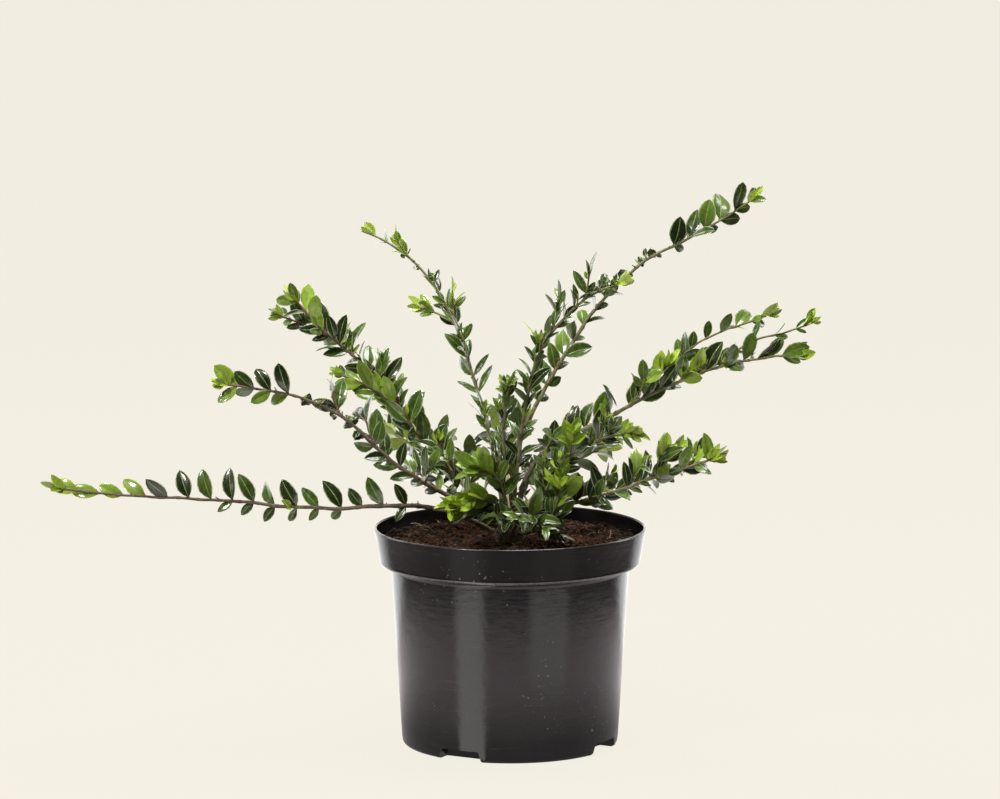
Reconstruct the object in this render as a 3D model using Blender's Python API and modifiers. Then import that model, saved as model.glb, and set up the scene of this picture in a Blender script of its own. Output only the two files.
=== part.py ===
# A young privet honeysuckle in a black nursery pot.
# Metres, +Z up. The origin is the centre of the pot's flat underside; -Y is the front.
# Headings are degrees about Z: 0 is +X (right), 90 is the back, 180 is left, 270 is the front.
# Pitch is degrees above the level.

import bmesh
import bpy
from math import asin, atan2, cos, degrees, pi, radians, sin
from mathutils import Matrix, Vector
from mathutils.bvhtree import BVHTree
from random import Random

# Fit
GAP = 0.0003                  # clearance between neighbours that rest on each other
LEAF_CLEARANCE = 0.0004       # least space between a leaf and another piece
SOIL_CLEARANCE = 0.002        # least height of a leaf's tip over the soil

# Pot: a turned shell with a stepped rim band
POT_HEIGHT = 0.1365
POT_WALL = 0.0015
POT_FLOOR = 0.0018
POT_STEPS = 40
RIM_RADIUS = 0.085            # outside, at the lip
RIM_FOOT_RADIUS = 0.0813      # outside, at the lower edge of the band
RIM_BAND = 0.0230             # height of the band
BAND_ROUND = 0.0022           # radius of its lower edge
LEDGE_DROP = 0.0010           # the ledge under the band slopes in by this much
BODY_TOP_RADIUS = 0.0743
BASE_RADIUS = 0.0675
EDGE_ROUND = 0.0025           # radius of the bottom corner
RECESS_RADII = (0.016, 0.046)  # ring pressed up into the underside
RECESS_DEPTH = 0.0008

# Drain notches in the bottom corner
NOTCH_HEADINGS = (62, 152, 242, 332)
NOTCH_WIDTH = 0.034
NOTCH_HEIGHT = 0.0070
NOTCH_DEPTH = 0.0120          # from the outside inwards
NOTCH_SLANT = 0.0040          # each upper corner leans in by this much
NOTCH_OVERRUN = 0.01          # the cutter passes the outside by this much, below and beside the pot
HOUSING_INSET = 0.0025        # the notch's inner walls end this far inside the pot's outside
HOUSING_LIFT = 0.0004         # and start this far above its underside

# Soil
SOIL_EDGE_HEIGHT = 0.1245
SOIL_MOUND = 0.0035           # the middle stands this much higher
SOIL_SHOULDER = 0.064         # radius where the mound has nearly levelled out
SOIL_STEP_IN = 0.0025         # the soil's low middle keeps this far inside the notches

# Woody foot that all stems spring from
FOOT_RADIUS = 0.0095
FOOT_CENTRE = Vector((0, 0, 0.132))

# Stems and leaves
PATH_STEPS = 240              # fine steps that a stem's bend is worked out with
BOUGH_STATION = 0.010         # spacing of the rings of a bare bough
TWIG_STATION = 0.014          # spacing of the rings inside a mass of leaves
BOUGH_SIDES = 6
TWIG_SIDES = 3
SPUR_RINGS = 3                # least number of stretches in a short side twig
TIP_RADIUS = 0.0006
TWIG_RADIUS = 0.0008
LEAF_THICKNESS = 0.0007
ROOT_DEPTH = 0.2              # a leaf's root lies this many stem radii beyond the stem's axis
ROOT_TAPER = 0.08             # the blade's widest stretch starts this share of its length further out
LONG_LEAF = 0.0158            # a leaf longer than this has six corners, a shorter one four
SPACE = 0.034                 # a mass keeps within this distance of its own shoots
TRIES = 3                     # turns tried before a leaf is skipped
PAIR_REACH = 0.0025           # leaves rooted this near each other share a joint of the stem
TIP_BUNCH = 0.020             # pairs crowd together over the last stretch of a shoot

# One row for each stem. seat: heading and tilt of its place on the foot. heading: at foot and tip.
# pitch: at five even stations. bare: share of the length that carries no leaves. plane: roll of the
# leaf pairs, 0 level and 90 upright. cross: how far the next pair is turned. faces: heading that the
# blades look to. leaf: blade length at the start, middle and tip. thin: stretch with tiny leaves.
# spurs: number of short seeded side twigs. both: both leaves of each pair are kept. under: size of
# the leaves that hang below. forks: longer side shoots (at, heading, pitch, length).
STEMS = {
    "low_left": dict(
        seat=(180, 6), heading=(186, 186), length=0.284, pitch=(33, -4, 7, 3, 10), radius=0.0016,
        bare=0.19, plane=84, cross=18, faces=270, leaf=(0.014, 0.019, 0.012), spacing=0.0125,
        wide=0.46, thin=None, spurs=0, both=True, under=0.62, forks=()),
    "left": dict(
        seat=(200, 32), heading=(195, 196), length=0.210, pitch=(33, 31, 46, 15, 6), radius=0.0016,
        bare=0.28, plane=60, cross=50, faces=270, leaf=(0.015, 0.018, 0.012), spacing=0.0120,
        wide=0.46, thin=(0.50, 0.76), spurs=2, both=True, under=0.85, forks=()),
    "upper_left": dict(
        seat=(158, 36), heading=(165, 168), length=0.200, pitch=(49, 43, 57, 33, 12), radius=0.0018,
        bare=0.20, plane=45, cross=80, faces=260, leaf=(0.015, 0.017, 0.011), spacing=0.0100,
        wide=0.44, thin=None, spurs=6, both=False, under=0.85,
        forks=((0.42, 188, (38, 30, 0), 0.062), (0.70, 172, (42, 48, 30), 0.058))),
    "high_left": dict(
        seat=(140, 66), heading=(120, 166), length=0.220, pitch=(72, 70, 67, 47, 11), radius=0.0014,
        bare=0.24, plane=30, cross=85, faces=270, leaf=(0.014, 0.014, 0.009), spacing=0.0125,
        wide=0.36, thin=(0.72, 0.84), spurs=3, both=False, under=0.85,
        forks=((0.56, 178, (24, 18, 5), 0.036),)),
    "middle": dict(
        seat=(235, 62), heading=(250, 300), length=0.100, pitch=(78, 82, 84, 74, 55), radius=0.0012,
        bare=0.30, plane=20, cross=85, faces=270, leaf=(0.012, 0.012, 0.009), spacing=0.0090,
        wide=0.36, thin=None, spurs=2, both=False, under=0.85, forks=()),
    "inner_right": dict(
        seat=(300, 62), heading=(306, 362), length=0.185, pitch=(87, 81, 76, 44, 14), radius=0.0014,
        bare=0.20, plane=30, cross=85, faces=270, leaf=(0.013, 0.014, 0.009), spacing=0.0100,
        wide=0.38, thin=None, spurs=5, both=False, under=0.85, forks=()),
    "high_right": dict(
        seat=(50, 68), heading=(392, 365), length=0.276, pitch=(100, 58, 54, 24, 37), radius=0.0017,
        bare=0.26, plane=70, cross=60, faces=270, leaf=(0.013, 0.015, 0.010), spacing=0.0130,
        wide=0.46, thin=(0.58, 0.74), spurs=0, both=True, under=0.62, forks=()),
    "right": dict(
        seat=(350, 52), heading=(345, 352), length=0.228, pitch=(100, 30, 29, 19, -6), radius=0.0018,
        bare=0.22, plane=62, cross=55, faces=270, leaf=(0.016, 0.017, 0.011), spacing=0.0100,
        wide=0.46, thin=None, spurs=5, both=False, under=0.85,
        forks=((0.50, 374, (52, 13, 21), 0.111), (0.66, 358, (36, 12, 27), 0.093))),
    "right_lower": dict(
        seat=(318, 28), heading=(316, 329), length=0.120, pitch=(43, 59, 44, 18, 3), radius=0.0013,
        bare=0.26, plane=45, cross=80, faces=280, leaf=(0.014, 0.014, 0.011), spacing=0.0090,
        wide=0.42, thin=None, spurs=3, both=False, under=0.85, forks=()),
    "low_right": dict(
        seat=(340, 8), heading=(339, 335), length=0.148, pitch=(60, 10, 24, 19, 20), radius=0.0015,
        bare=0.24, plane=60, cross=70, faces=270, leaf=(0.015, 0.014, 0.011), spacing=0.0095,
        wide=0.42, thin=None, spurs=4, both=False, under=0.85, forks=((0.60, 338, (70, 45, 60), 0.032),)),
    "front_left": dict(
        seat=(250, 30), heading=(240, 205), length=0.064, pitch=(74, 44, 8, -12, -20), radius=0.0012,
        bare=0.24, plane=10, cross=70, faces=270, leaf=(0.015, 0.016, 0.013), spacing=0.0075,
        wide=0.40, thin=None, spurs=1, both=True, under=0.85, forks=()),
    "front_upright": dict(
        seat=(264, 48), heading=(258, 190), length=0.060, pitch=(70, 72, 54, 20, -6), radius=0.0011,
        bare=0.26, plane=0, cross=88, faces=270, leaf=(0.012, 0.015, 0.012), spacing=0.0080,
        wide=0.40, thin=None, spurs=1, both=True, under=0.85, forks=()),
    "front": dict(
        seat=(281, 14), heading=(286, 296), length=0.066, pitch=(46, 30, 6, -14, -26), radius=0.0012,
        bare=0.22, plane=15, cross=75, faces=270, leaf=(0.014, 0.016, 0.012), spacing=0.0078,
        wide=0.40, thin=None, spurs=2, both=False, under=0.85, forks=()),
    "front_right": dict(
        seat=(311, 6), heading=(300, 330), length=0.072, pitch=(14, 18, 56, 82, 86), radius=0.0012,
        bare=0.24, plane=20, cross=75, faces=280, leaf=(0.014, 0.015, 0.011), spacing=0.0082,
        wide=0.42, thin=None, spurs=2, both=False, under=0.85, forks=()),
    "back_left": dict(
        seat=(120, 16), heading=(118, 112), length=0.185, pitch=(44, 14, 6, 10, 14), radius=0.0015,
        bare=0.26, plane=50, cross=65, faces=100, leaf=(0.015, 0.016, 0.011), spacing=0.0115,
        wide=0.44, thin=None, spurs=4, both=False, under=0.85, forks=((0.55, 140, (20, 18, 16), 0.050),)),
    "back": dict(
        seat=(90, 32), heading=(94, 88), length=0.170, pitch=(52, 26, 12, 8, 12), radius=0.0015,
        bare=0.26, plane=45, cross=70, faces=90, leaf=(0.015, 0.016, 0.011), spacing=0.0115,
        wide=0.44, thin=None, spurs=4, both=False, under=0.85, forks=()),
    "back_right": dict(
        seat=(64, 12), heading=(66, 68), length=0.185, pitch=(42, 12, 6, 8, 12), radius=0.0015,
        bare=0.26, plane=50, cross=65, faces=80, leaf=(0.015, 0.016, 0.011), spacing=0.0115,
        wide=0.44, thin=None, spurs=4, both=False, under=0.85, forks=((0.55, 48, (18, 14, 12), 0.050),)),
    "far_right": dict(
        seat=(30, 12), heading=(34, 36), length=0.145, pitch=(40, 10, 4, 8, 14), radius=0.0014,
        bare=0.28, plane=50, cross=65, faces=60, leaf=(0.014, 0.015, 0.010), spacing=0.0115,
        wide=0.44, thin=None, spurs=3, both=False, under=0.85, forks=()),
}


def clear_scene():
    for thing in list(bpy.data.objects):
        bpy.data.objects.remove(thing, do_unlink=True)


def new_collection(name, hidden=False):
    group = bpy.data.collections.new(name)
    group.hide_render = hidden
    bpy.context.scene.collection.children.link(group)
    return group


def plain_material(name, colour, roughness):
    material = bpy.data.materials.new(name)
    material.use_nodes = True
    shader = material.node_tree.nodes["Principled BSDF"]
    shader.inputs["Base Color"].default_value = (*colour, 1)
    shader.inputs["Roughness"].default_value = roughness
    shader.inputs["Metallic"].default_value = 0
    return material


def add_object(name, mesh, group, material=None):
    thing = bpy.data.objects.new(name, mesh)
    group.objects.link(thing)
    if material:
        mesh.materials.clear()
        mesh.materials.append(material)
    return thing


def mesh_from(shape, name):
    """A mesh data block of this bmesh, which is freed."""
    mesh = bpy.data.meshes.new(name)
    shape.to_mesh(mesh)
    shape.free()
    return mesh


def evaluated_mesh(thing):
    graph = bpy.context.evaluated_depsgraph_get()
    return bpy.data.meshes.new_from_object(thing.evaluated_get(graph))


def direction(heading, pitch):
    level = cos(radians(pitch))
    return Vector((level * cos(radians(heading)), level * sin(radians(heading)), sin(radians(pitch))))


def between(values, share):
    """The value at this share of the way along evenly spaced values."""
    place = min(max(share, 0), 1) * (len(values) - 1)
    low = min(int(place), len(values) - 2)
    return values[low] + (values[low + 1] - values[low]) * (place - low)


# Turned pieces

def turned(name, profile, group, material, steps=POT_STEPS):
    """A profile of (radius, height) turned about Z. It runs down the outside."""
    shape = bmesh.new()
    corners = [shape.verts.new((radius, 0, height)) for radius, height in profile]
    for first, second in zip(corners, corners[1:]):
        shape.edges.new((first, second))
    thing = add_object(name, mesh_from(shape, name), group, material)
    screw = thing.modifiers.new("Turn", "SCREW")
    screw.steps = steps
    screw.render_steps = steps
    screw.use_merge_vertices = True
    screw.merge_threshold = 0.00001
    screw.use_smooth_shade = True
    return thing


def wall_radius(height):
    """Outer radius of the pot's body below the ledge."""
    top = POT_HEIGHT - RIM_BAND - LEDGE_DROP
    return BASE_RADIUS + (BODY_TOP_RADIUS - BASE_RADIUS) * height / top


def inside_radius(height):
    """Inner radius of the pot at this height."""
    band_foot = POT_HEIGHT - RIM_BAND
    if height < band_foot:
        return wall_radius(height) - POT_WALL
    share = (height - band_foot) / RIM_BAND
    return RIM_FOOT_RADIUS + (RIM_RADIUS - RIM_FOOT_RADIUS) * share - POT_WALL


def corner_arc(radius, height, size, start, end, steps):
    """Points of an arc about (radius, height), in degrees."""
    turns = [radians(start + (end - start) * i / steps) for i in range(steps + 1)]
    return [(radius + size * cos(turn), height + size * sin(turn)) for turn in turns]


def pot_profile():
    band_foot = POT_HEIGHT - RIM_BAND
    ledge_top = band_foot + POT_WALL
    lip = POT_WALL / 2
    inner, outer = RECESS_RADII
    profile = [(0, POT_FLOOR), (wall_radius(POT_FLOOR) - POT_WALL, POT_FLOOR)]
    profile += [(BODY_TOP_RADIUS - POT_WALL, ledge_top - LEDGE_DROP)]
    profile += [(RIM_FOOT_RADIUS - POT_WALL, ledge_top)]
    profile += corner_arc(RIM_RADIUS - lip, POT_HEIGHT - lip, lip, 180, 0, 3)
    profile += corner_arc(RIM_FOOT_RADIUS - BAND_ROUND, band_foot + BAND_ROUND, BAND_ROUND, 0, -90, 3)
    profile += [(BODY_TOP_RADIUS, band_foot - LEDGE_DROP)]
    profile += corner_arc(BASE_RADIUS - EDGE_ROUND, EDGE_ROUND, EDGE_ROUND, 0, -90, 2)
    profile += [(outer, 0), (outer - RECESS_DEPTH, RECESS_DEPTH)]
    profile += [(inner + RECESS_DEPTH, RECESS_DEPTH), (inner, 0), (0, 0)]
    return profile


def notch_block(name, grow, reach, group, heading):
    """A block with slanting upper corners for one drain notch, lying from its inner wall to reach."""
    shape = bmesh.new()
    bmesh.ops.create_cube(shape, size=1)
    inner = BASE_RADIUS - NOTCH_DEPTH - grow
    depth = reach - inner
    foot = HOUSING_LIFT if grow else -NOTCH_OVERRUN
    height = NOTCH_HEIGHT + grow - foot
    bmesh.ops.scale(shape, vec=(depth, NOTCH_WIDTH + 2 * grow, height), verts=shape.verts)
    bmesh.ops.translate(shape, vec=(inner + depth / 2, 0, foot + height / 2), verts=shape.verts)
    for corner in shape.verts:
        if corner.co.z > foot + height / 2:
            corner.co.y -= NOTCH_SLANT if corner.co.y > 0 else -NOTCH_SLANT
    turn = Matrix.Rotation(radians(heading), 4, "Z")
    bmesh.ops.transform(shape, matrix=turn, verts=shape.verts)
    block = add_object(name, mesh_from(shape, name), group)
    block.display_type = "WIRE"
    block.hide_render = True
    return block


def join_or_cut(thing, operation, group, solver="EXACT"):
    boolean = thing.modifiers.new(operation.title(), "BOOLEAN")
    boolean.operation = operation
    boolean.operand_type = "COLLECTION"
    boolean.collection = group
    boolean.solver = solver


def apply_all(thing, helpers=()):
    """Applies the modifiers of an object, then removes the collections that they used."""
    bpy.context.view_layer.update()
    done = evaluated_mesh(thing)
    thing.modifiers.clear()
    old = thing.data
    thing.data = done
    bpy.data.meshes.remove(old)
    done.name = thing.name
    for group in helpers:
        for piece in list(group.objects):
            bpy.data.objects.remove(piece, do_unlink=True)
        bpy.data.collections.remove(group)


def make_pot(group):
    material = plain_material("black_plastic", (0.032, 0.029, 0.031), 0.32)
    pot = turned("pot", pot_profile(), group, material)
    housings = new_collection("notch_housings", hidden=True)
    cuts = new_collection("notch_cuts", hidden=True)
    for heading in NOTCH_HEADINGS:
        notch_block("housing", POT_WALL, BASE_RADIUS - HOUSING_INSET, housings, heading)
        notch_block("notch", 0, BASE_RADIUS + NOTCH_OVERRUN, cuts, heading)
    join_or_cut(pot, "UNION", housings)
    join_or_cut(pot, "DIFFERENCE", cuts)
    apply_all(pot, (housings, cuts))
    return pot


def make_soil(group):
    step = BASE_RADIUS - NOTCH_DEPTH - SOIL_STEP_IN
    shelf = NOTCH_HEIGHT + POT_WALL + GAP
    foot = POT_FLOOR + GAP
    band_foot = POT_HEIGHT - RIM_BAND
    ledge = band_foot + POT_WALL + GAP
    profile = [(radius, soil_height(radius)) for radius in (0, SOIL_SHOULDER / 2, SOIL_SHOULDER)]
    profile += [(inside_radius(SOIL_EDGE_HEIGHT) - GAP, SOIL_EDGE_HEIGHT)]
    profile += [(RIM_FOOT_RADIUS - POT_WALL - GAP, ledge)]
    profile += [(BODY_TOP_RADIUS - POT_WALL - GAP, ledge - LEDGE_DROP)]
    profile += [(inside_radius(shelf) - GAP, shelf), (step, shelf), (step, foot), (0, foot)]
    soil = turned("soil", profile, group, plain_material("potting_soil", (0.035, 0.020, 0.013), 0.95))
    apply_all(soil)
    return soil


def soil_height(radius):
    """Height of the soil's surface: a low mound that is highest in the middle."""
    share = min(radius / SOIL_SHOULDER, 1)
    return SOIL_EDGE_HEIGHT + SOIL_MOUND * (1 - 0.8 * share ** 2)


def make_foot(group, material):
    """A knob of old wood with a flat cut at the soil."""
    shape = bmesh.new()
    bmesh.ops.create_uvsphere(shape, u_segments=20, v_segments=10, radius=FOOT_RADIUS)
    bmesh.ops.translate(shape, vec=FOOT_CENTRE, verts=shape.verts)
    ground = SOIL_EDGE_HEIGHT + SOIL_MOUND + GAP
    parts = shape.verts[:] + shape.edges[:] + shape.faces[:]
    cut = bmesh.ops.bisect_plane(
        shape, geom=parts, plane_co=(0, 0, ground), plane_no=(0, 0, -1), clear_outer=True)
    rim = [part for part in cut["geom_cut"] if isinstance(part, bmesh.types.BMEdge)]
    bmesh.ops.contextual_create(shape, geom=rim)
    bmesh.ops.recalc_face_normals(shape, faces=shape.faces)
    foot = add_object("foot", mesh_from(shape, "foot"), group, material)
    foot.data.shade_smooth()
    foot.data.set_sharp_from_angle(angle=radians(50))
    return foot


# Stems

def bent_path(start, headings, pitches, length):
    """Even fine points of a limb whose heading and pitch change along it."""
    points = [Vector(start)]
    for i in range(PATH_STEPS):
        share = (i + 0.5) / PATH_STEPS
        way = direction(between(headings, share), between(pitches, share))
        points.append(points[-1] + way * (length / PATH_STEPS))
    return points


def at(path, share):
    return between(path, share)


def heading_of(path, share):
    return (at(path, share + 0.01) - at(path, share - 0.01)).normalized()


def stem_path(row):
    seat = direction(*row["seat"])
    growth = direction(row["heading"][0], row["pitch"][0])
    lean = seat.angle(growth)
    start = FOOT_CENTRE + seat * (FOOT_RADIUS + GAP + row["radius"] * sin(lean))
    return bent_path(start, row["heading"], row["pitch"], row["length"])


def ring_curve(sides):
    """A closed outline of unit radius that a limb is swept from."""
    curve = bpy.data.curves.new("ring", "CURVE")
    spline = curve.splines.new("POLY")
    spline.points.add(sides - 1)
    for i, knot in enumerate(spline.points):
        turn = 2 * pi * i / sides
        knot.co = (cos(turn), sin(turn), 0, 1)
    spline.use_cyclic_u = True
    return bpy.data.objects.new("ring", curve)


def tube(name, points, radii, group, sides):
    """A tapering limb along these points, as a closed mesh."""
    curve = bpy.data.curves.new(name, "CURVE")
    curve.dimensions = "3D"
    ring = ring_curve(sides)
    bpy.context.scene.collection.objects.link(ring)
    curve.bevel_mode = "OBJECT"
    curve.bevel_object = ring
    curve.use_fill_caps = True
    spline = curve.splines.new("POLY")
    spline.points.add(len(points) - 1)
    for knot, place, radius in zip(spline.points, points, radii):
        knot.co = (*place, 1)
        knot.radius = radius
    drawn = bpy.data.objects.new(name + "_curve", curve)
    bpy.context.scene.collection.objects.link(drawn)
    bpy.context.view_layer.update()
    mesh = evaluated_mesh(drawn)
    bpy.data.objects.remove(drawn, do_unlink=True)
    bpy.data.objects.remove(ring, do_unlink=True)
    shape = bmesh.new()
    shape.from_mesh(mesh)
    bmesh.ops.remove_doubles(shape, verts=shape.verts, dist=0.00001)
    bmesh.ops.recalc_face_normals(shape, faces=shape.faces)
    bpy.data.meshes.remove(mesh)
    return add_object(name, mesh_from(shape, name), group)


def stretch(path, start, end, spacing, length):
    """Points of a path from one share to another, about this far apart."""
    count = max(2, round((end - start) * length / spacing) + 1)
    shares = [start + (end - start) * i / (count - 1) for i in range(count)]
    return shares, [at(path, share) for share in shares]


def stem_radius(row, share):
    return row["radius"] + (TIP_RADIUS - row["radius"]) * share


# Leaves

def leaf_shape(length, width, grow=0):
    """A thin closed blade from its root at the origin along X: two low pyramids on one outline."""
    corners = 6 if length > LONG_LEAF else 4
    breadth = width / sin(2 * pi / corners)
    shape = bmesh.new()
    bmesh.ops.create_uvsphere(shape, u_segments=corners, v_segments=2, radius=0.5)
    points_on_x = Matrix.Rotation(radians(90), 4, "Z")
    bmesh.ops.transform(shape, matrix=points_on_x, verts=shape.verts)
    size = (length + 2 * grow, breadth + 2 * grow, LEAF_THICKNESS + 2 * grow)
    bmesh.ops.scale(shape, vec=size, verts=shape.verts)
    bmesh.ops.translate(shape, vec=(length / 2, 0, 0), verts=shape.verts)
    for corner in shape.verts:
        if corners == 6 and abs(corner.co.y) > 0.0001 and corner.co.x < length / 2:
            corner.co.x += ROOT_TAPER * length
    return shape


def leaf_frame(root, along, normal):
    side = normal.cross(along).normalized()
    up = along.cross(side)
    turn = Matrix((along, side, up)).transposed().to_4x4()
    turn.translation = root
    return turn


def placed_leaf(leaf, grow=0):
    shape = leaf_shape(leaf["length"], leaf["width"], grow)
    bmesh.ops.transform(shape, matrix=leaf["frame"], verts=shape.verts)
    return shape


def leaf_pairs(row, length, start, chance):
    """The seeded rule for the leaves of one shoot: opposite pairs, each turned from the last.
    Where a stem is dense, only one leaf of each pair is kept, from either side in turn."""
    travelled = start * length
    pair = 0
    while travelled < length:
        share = travelled / length
        left = length - travelled
        tip_share = max(0, 1 - left / TIP_BUNCH)
        tiny = bool(row["thin"]) and row["thin"][0] < share < row["thin"][1]
        size = between((row["leaf"][0], row["leaf"][1], row["leaf"][1], row["leaf"][2]), share)
        size *= (1 - 0.35 * tip_share) * (0.36 if tiny else 1)
        for half in (0, 180):
            yield dict(
                share=share, kept=row["both"] or (half == 0) == (pair % 2 == 0),
                size=size * (1 + chance.uniform(-0.16, 0.16)),
                wide=row["wide"] * (1.5 if tiny else 1) * (1 + chance.uniform(-0.1, 0.1)),
                roll=row["plane"] + half + (pair % 2) * row["cross"] + chance.uniform(-14, 14),
                lean=(1 - tip_share) * (58 + chance.uniform(-12, 12)) + tip_share * 30,
                lift=0.25 + chance.uniform(-0.1, 0.25), twist=chance.uniform(-22, 22))
        pair += 1
        travelled += row["spacing"] * (1 - 0.6 * tip_share)


def on_axis(shoot, share):
    """The point of a shoot's own straight stretches at this share of its path."""
    return between(shoot["knots"], (share - shoot["first"]) / (1 - shoot["first"]))


def set_leaf(row, shoot, radius, choice, turn):
    """Where one leaf of a pair stands, with its roll turned a little."""
    share = choice["share"]
    root = on_axis(shoot, share)
    along = heading_of(shoot["path"], share)
    level = along.cross(Vector((0, 0, 1))).normalized()
    rise = level.cross(along).normalized()
    roll = radians(choice["roll"] + turn)
    out = level * cos(roll) + rise * sin(roll)
    lean = radians(choice["lean"])
    blade = along * cos(lean) + out * sin(lean) + Vector((0, 0, 1)) * choice["lift"]
    blade.normalize()
    hangs = out.z < -0.4
    size = choice["size"] * (row["under"] if hangs else 1)
    light = direction(row["faces"], 50)
    face = along.cross(out)
    face = (face if face.dot(light) > 0 else -face) + light * 0.6
    face = (face - blade * face.dot(blade)).normalized()
    face.rotate(Matrix.Rotation(radians(choice["twist"]), 3, blade))
    sunk = radius * ROOT_DEPTH
    return dict(
        length=size + sunk, width=size * choice["wide"],
        frame=leaf_frame(root - blade * sunk, blade, face), tip=root + blade * size)


def spur_rows(row, path, chance):
    """Short seeded side twigs: each leaves the stem at an angle and rises."""
    for spur in range(row["spurs"]):
        share = row["bare"] + (0.86 - row["bare"]) * (spur + chance.random()) / row["spurs"]
        along = heading_of(path, share)
        heading = degrees(atan2(along.y, along.x)) + chance.choice((-1, 1)) * chance.uniform(30, 60)
        pitch = degrees(asin(along.z)) + chance.uniform(5, 35)
        length = (0.030 - 0.014 * share) * (1 + chance.uniform(-0.3, 0.4))
        yield share, heading, (min(pitch, 80), min(pitch, 70) + 8, min(pitch, 70)), length


def mesh_tree(mesh):
    shape = bmesh.new()
    shape.from_mesh(mesh)
    tree = BVHTree.FromBMesh(shape)
    shape.free()
    return tree


def in_space(place, shoots):
    """Whether a point lies within the mass's own space, above the soil."""
    near = any((at(path, i / 40) - place).length < SPACE for path in shoots for i in range(41))
    over_pot = place.xy.length < RIM_RADIUS + SOIL_CLEARANCE
    return near and not (over_pot and place.z < soil_height(place.xy.length) + SOIL_CLEARANCE)


def grown_mass(name, number, row, path, material, group, others):
    """One mass of leaves: a stem that carries on from its bough, its side shoots and its leaves."""
    chance = Random(100 + number)
    length = row["length"]
    gap = GAP / length
    spine, points = stretch(path, row["bare"] + gap, 1, TWIG_STATION, length)
    mass = tube("leaves_" + name, points, [stem_radius(row, s) for s in spine], group, TWIG_SIDES)
    loose = new_collection("loose")
    foreign = [tree for other, tree in others.items() if other != mass.name]

    main_shoot = dict(
        path=path, length=length, first=row["bare"] + gap, knots=points,
        start=row["bare"] + 0.004 / length, radius=row["radius"])
    shoots = [main_shoot]
    for share, heading, pitch, reach in list(row["forks"]) + list(spur_rows(row, path, chance)):
        start_pitch = degrees(asin(heading_of(path, share).z))
        root_place = on_axis(main_shoot, share)
        side_path = bent_path(root_place, (heading, heading), (start_pitch, *pitch), reach)
        forked = (share, heading, pitch, reach) in row["forks"]
        root = max(TWIG_RADIUS, 0.7 * stem_radius(row, share)) if forked else TWIG_RADIUS
        steps, knots = stretch(side_path, 0, 1, min(TWIG_STATION, reach / SPUR_RINGS), reach)
        twig = tube("twig", knots, [root + (TIP_RADIUS - root) * s for s in steps], loose, TWIG_SIDES)
        outside = not forked and not in_space(knots[-1], [path])
        tree = mesh_tree(twig.data)
        if outside or any(tree.overlap(other) for other in foreign):
            bpy.data.objects.remove(twig, do_unlink=True)
            continue
        shoots.append(dict(
            path=side_path, length=reach, first=0, knots=knots, start=0.006 / reach, radius=root))

    own = []
    spaces = [shoot["path"] for shoot in shoots]
    for shoot in shoots:
        for choice in leaf_pairs(row, shoot["length"], shoot["start"], chance):
            radius = shoot["radius"] + (TIP_RADIUS - shoot["radius"]) * choice["share"]
            for attempt in range(TRIES if choice["kept"] else 0):
                leaf = set_leaf(row, shoot, radius, choice, 24 * attempt)
                if not in_space(leaf["tip"], spaces):
                    continue
                guard = placed_leaf(leaf, LEAF_CLEARANCE)
                tree = BVHTree.FromBMesh(guard)
                guard.free()
                root = leaf["frame"].translation
                near = [other for place, other in own if (place - root).length > PAIR_REACH]
                if any(tree.overlap(other) for other in foreign + near):
                    continue
                solid = placed_leaf(leaf)
                own.append((root, BVHTree.FromBMesh(solid)))
                add_object("leaf", mesh_from(solid, "leaf"), loose)
                break
    fuse(mass, loose, material)
    print(name, len(own), "leaves", len(mass.data.polygons), "faces")
    return mass


def fuse(mass, loose, material):
    """Joins everything in the loose collection to the mass and drops any scrap that stays apart."""
    join_or_cut(mass, "UNION", loose, solver="MANIFOLD")
    apply_all(mass, (loose,))
    drop_scraps(mass.data)
    mass.data.materials.clear()
    mass.data.materials.append(material)


def drop_scraps(mesh):
    """Keeps the largest connected piece of a mesh."""
    shape = bmesh.new()
    shape.from_mesh(mesh)
    unseen = set(shape.verts)
    pieces = []
    while unseen:
        piece = {unseen.pop()}
        edge = list(piece)
        while edge:
            vert = edge.pop()
            found = {link.other_vert(vert) for link in vert.link_edges} & unseen
            unseen -= found
            piece |= found
            edge += found
        pieces.append(piece)
    largest = max(pieces, key=len)
    scraps = [vert for piece in pieces if piece is not largest for vert in piece]
    bmesh.ops.delete(shape, geom=scraps, context="VERTS")
    shape.to_mesh(mesh)
    shape.free()
    if scraps:
        print("dropped", len(pieces) - 1, "scraps of", mesh.name)


def main():
    clear_scene()
    plant = new_collection("potted_privet_honeysuckle")
    bark = plain_material("bark", (0.13, 0.10, 0.07), 0.85)
    foliage = plain_material("foliage", (0.055, 0.14, 0.035), 0.45)
    pot = make_pot(plant)
    soil = make_soil(plant)
    foot = make_foot(plant, bark)
    others = {thing.name: mesh_tree(thing.data) for thing in (pot, soil, foot)}
    paths = {name: stem_path(row) for name, row in STEMS.items()}
    for name, row in STEMS.items():
        shares, points = stretch(paths[name], 0, row["bare"], BOUGH_STATION, row["length"])
        bough = tube("bough_" + name, points, [stem_radius(row, s) for s in shares], plant, BOUGH_SIDES)
        bough.data.materials.append(bark)
        bough.data.shade_smooth()
        others[bough.name] = mesh_tree(bough.data)
        shares, points = stretch(paths[name], row["bare"], 1, TWIG_STATION, row["length"])
        guide = tube("guide", points, [stem_radius(row, s) + GAP for s in shares], plant, TWIG_SIDES)
        others["leaves_" + name] = mesh_tree(guide.data)
        bpy.data.objects.remove(guide, do_unlink=True)
    for number, (name, row) in enumerate(STEMS.items()):
        mass = grown_mass(name, number, row, paths[name], foliage, plant, others)
        others[mass.name] = mesh_tree(mass.data)


main()
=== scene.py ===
from math import asin, atan2, cos, degrees, log, pi, radians, sin
from random import Random

import bmesh
import bpy
import numpy as np
from mathutils import Matrix, Vector, noise


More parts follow.
